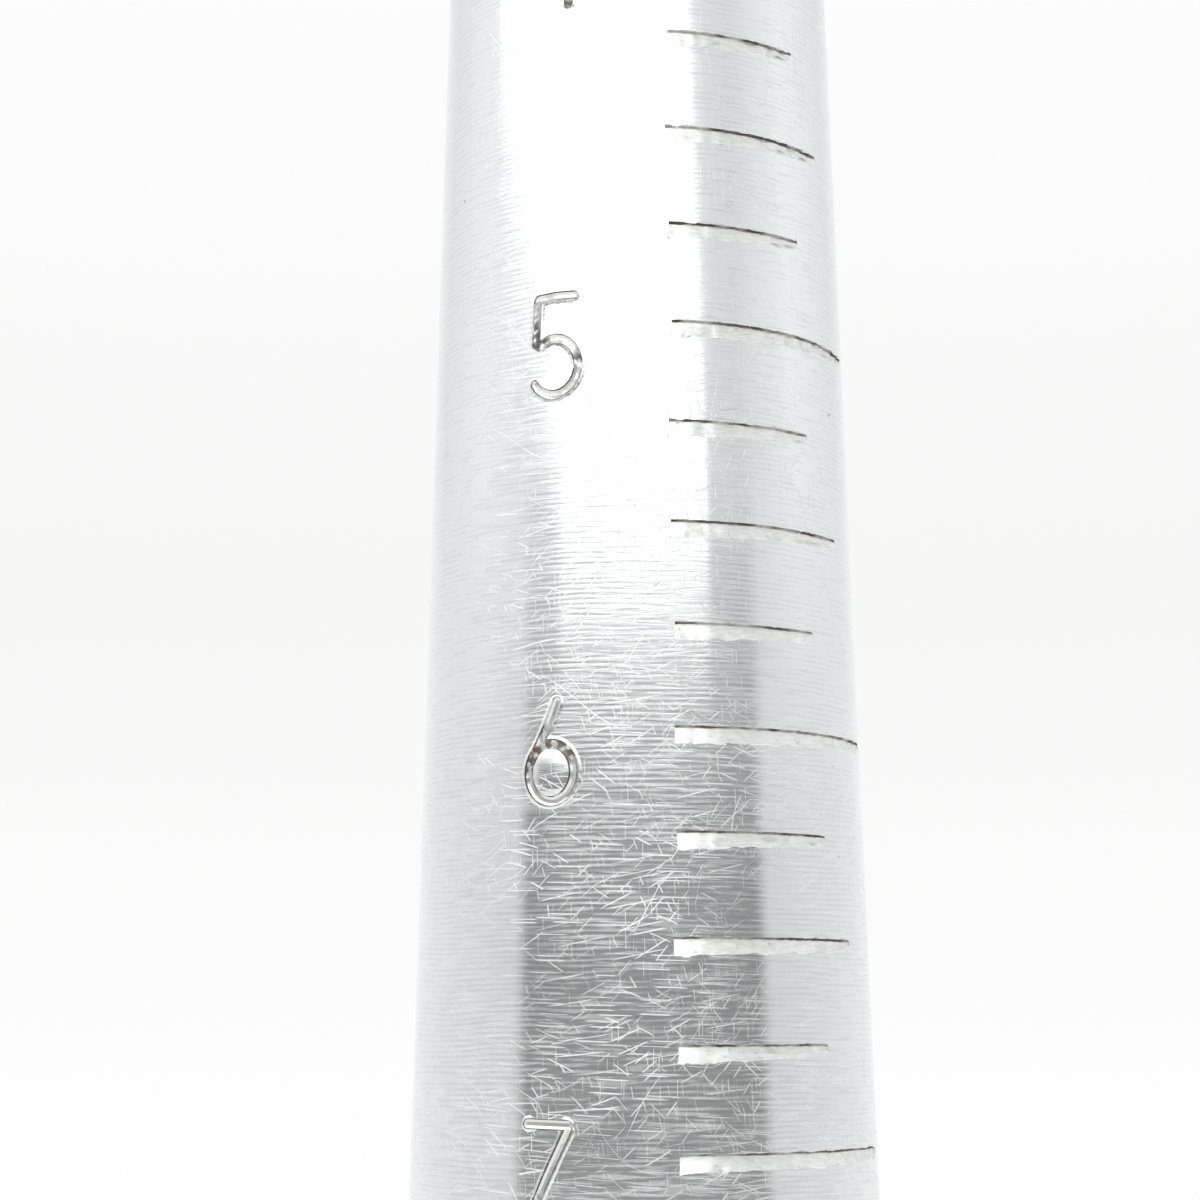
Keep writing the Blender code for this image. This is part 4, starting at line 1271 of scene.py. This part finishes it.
def butt_cap():
    low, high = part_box("butt_cap")
    radius = high.x
    line = radius - CAP_EDGE - CAP_LINE_INSET
    outline = [
        (0.0, high.z),
        (CAP_SPIGOT_RADIUS - CAP_EDGE, high.z),
        (CAP_SPIGOT_RADIUS, high.z - CAP_EDGE),
        (CAP_SPIGOT_RADIUS, low.z + CAP_FLANGE),
        *corner_arc(radius - CAP_EDGE, low.z + CAP_FLANGE - CAP_EDGE, CAP_EDGE, 90, 0, 7),
        *corner_arc(radius - CAP_EDGE, low.z + CAP_EDGE, CAP_EDGE, 0, -90, 7),
        (line + CAP_LINE_WIDTH / 2, low.z),
        (line, low.z + CAP_LINE_DEPTH),
        (line - CAP_LINE_WIDTH / 2, low.z),
        (CAP_PIP_RADIUS, low.z),
        (0.0, low.z + CAP_PIP_RADIUS),
    ]
    finish = turned_aluminium("turned cap", radius / MM, pitch=0.25)
    return new_object("butt_cap_turned", turned(outline, CAP_STEPS), [finish], 32.0)


cap = butt_cap()
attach(cap, "root")
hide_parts("butt_cap")


# ---- Studio -----------------------------------------------------------------------------------------
# A pale table under a plain backdrop. The light is all round and soft: a wide white panel high in front,
# pale walls at the sides, and a darker stretch in front below the panel, where the camera stands.

FLOOR_HALF = 3.8
TABLE_SHADE = (0.89, 0.89, 0.88, 1.0)
TABLE_PALE = (0.90, 0.90, 0.89, 1.0)

# How bright the studio is low down and high up, by degrees round from the front, the same on both sides.
LOW_LIGHT = ((59, 0.27), (66, 0.68), (110, 0.78), (180, 1.0))
HIGH_LIGHT = ((0, 0.9), (55, 0.76), (95, 0.96), (138, 0.82), (180, 1.0))
STUDIO_WHITE = (0.985, 1.0, 1.0)

# The white panel: degrees up to its foot and head, where each fades, and degrees round to its sides, which
# shift as it climbs.
PANEL_LIGHT = (1.75, 1.75, 1.75, 1.0)
PANEL_FOOT = (11.8, 13.6)
PANEL_HEAD = (60.0, 75.0)
PANEL_SHIFT = (13.0, 25.0)
PANEL_LEFT = (-42.0, -92.0)
PANEL_RIGHT = (37.0, 30.0)
PANEL_SOFTNESS = 2.0

# What the camera sees behind the table, from straight down at 0 to straight up at 1.
BACKDROP = (
    (0.0, 0.9, 0.9, 0.9),
    (0.48, 1.0, 1.0, 1.0),
    (0.55, 0.93, 0.93, 0.925),
    (0.62, 0.98, 0.98, 0.98),
)


def pale_floor():
    bm = bmesh.new()
    bmesh.ops.create_grid(bm, x_segments=1, y_segments=1, size=FLOOR_HALF)
    material, tree, shader, place = new_finish("pale table")
    cloud = noise_at(tree, place, 6.0, 2.0)
    colour = blended(tree, cloud, TABLE_SHADE, TABLE_PALE)
    wire(tree, shader, Base_Color=colour, Roughness=0.6)
    return new_object("floor", bm, [material])


def colour_band(tree, value, stops):
    """A colour for a value between 0 and 1, from (value, red, green, blue) stops."""
    ramp = put(tree, "ValToRGB", {0: value})
    elements = ramp.color_ramp.elements
    while len(elements) < len(stops):
        elements.new(0.5)
    for element, (at, *colour) in zip(elements, sorted(stops)):
        element.position = at
        element.color = (*colour, 1.0)
    return ramp.outputs[0]


def soft_studio():
    world = bpy.data.worlds.new("studio")
    bpy.context.scene.world = world
    world.use_nodes = True
    tree = world.node_tree
    background = tree.nodes["Background"]
    way = put(tree, "TexCoord").outputs["Generated"]
    apart = put(tree, "SeparateXYZ", {0: way}).outputs
    azimuth = maths(tree, "ARCTAN2", apart[0], maths(tree, "MULTIPLY", apart[1], -1.0))
    round_it = maths(tree, "MULTIPLY_ADD", azimuth, 1 / math.tau, 0.5)
    level = maths(tree, "DEGREES", maths(tree, "ARCSINE", apart[2]))
    degrees = maths(tree, "DEGREES", azimuth)

    def stops(table):
        sides = {side * at: bright for at, bright in table for side in (-1, 1)}
        return [
            ((at + 180) / 360, *(bright * part for part in STUDIO_WHITE)) for at, bright in sides.items()
        ]

    low = colour_band(tree, round_it, stops(LOW_LIGHT))
    high = colour_band(tree, round_it, stops(HIGH_LIGHT))
    climb = eased(tree, level, 3.0, 15.0)
    climb = maths(tree, "POWER", climb, 1.8)
    light = blended(tree, climb, low, high)
    left = maths(tree, "SUBTRACT", degrees, eased(tree, level, *PANEL_SHIFT, *PANEL_LEFT))
    right = maths(tree, "SUBTRACT", degrees, eased(tree, level, *PANEL_SHIFT, *PANEL_RIGHT))
    panel = maths(
        tree,
        "MULTIPLY",
        eased(tree, left, -PANEL_SOFTNESS, PANEL_SOFTNESS),
        eased(tree, right, -PANEL_SOFTNESS, PANEL_SOFTNESS, 1.0, 0.0),
    )
    panel = maths(tree, "MULTIPLY", panel, eased(tree, level, *PANEL_FOOT))
    panel = maths(tree, "MULTIPLY", panel, eased(tree, level, *PANEL_HEAD, 1.0, 0.0))
    light = blended(tree, panel, light, PANEL_LIGHT)
    backdrop = colour_band(tree, maths(tree, "MULTIPLY_ADD", level, 1 / 180, 0.5), BACKDROP)
    seen = put(tree, "LightPath").outputs["Is Camera Ray"]
    tree.links.new(blended(tree, seen, light, backdrop), background.inputs["Color"])
    background.inputs["Strength"].default_value = 1.0


CAMERA_DISTANCE = 103.25 * MM
CAMERA_BELOW_SIX = 10.66 * MM
CAMERA_YAW = math.radians(0.866)
CAMERA_PITCH = math.radians(9.037)
CAMERA_ROLL = math.radians(-0.208)
CAMERA_LENS = 81.51


def close_camera():
    """Close in front of sizes 4 to 7, a little below them and tilted up."""
    data = bpy.data.cameras.new("camera")
    data.lens = CAMERA_LENS
    data.clip_start = 0.01
    camera = bpy.data.objects.new("camera", data)
    bpy.context.scene.collection.objects.link(camera)
    camera.location = (0, -CAMERA_DISTANCE, mark_height(6) - CAMERA_BELOW_SIX)
    turn = Matrix.Rotation(CAMERA_YAW, 3, "Z") @ Matrix.Rotation(math.pi / 2 + CAMERA_PITCH, 3, "X")
    camera.rotation_euler = (turn @ Matrix.Rotation(CAMERA_ROLL, 3, "Z")).to_euler()
    bpy.context.scene.camera = camera


pale_floor()
soft_studio()
close_camera()
bpy.context.scene.view_settings.view_transform = "Standard"
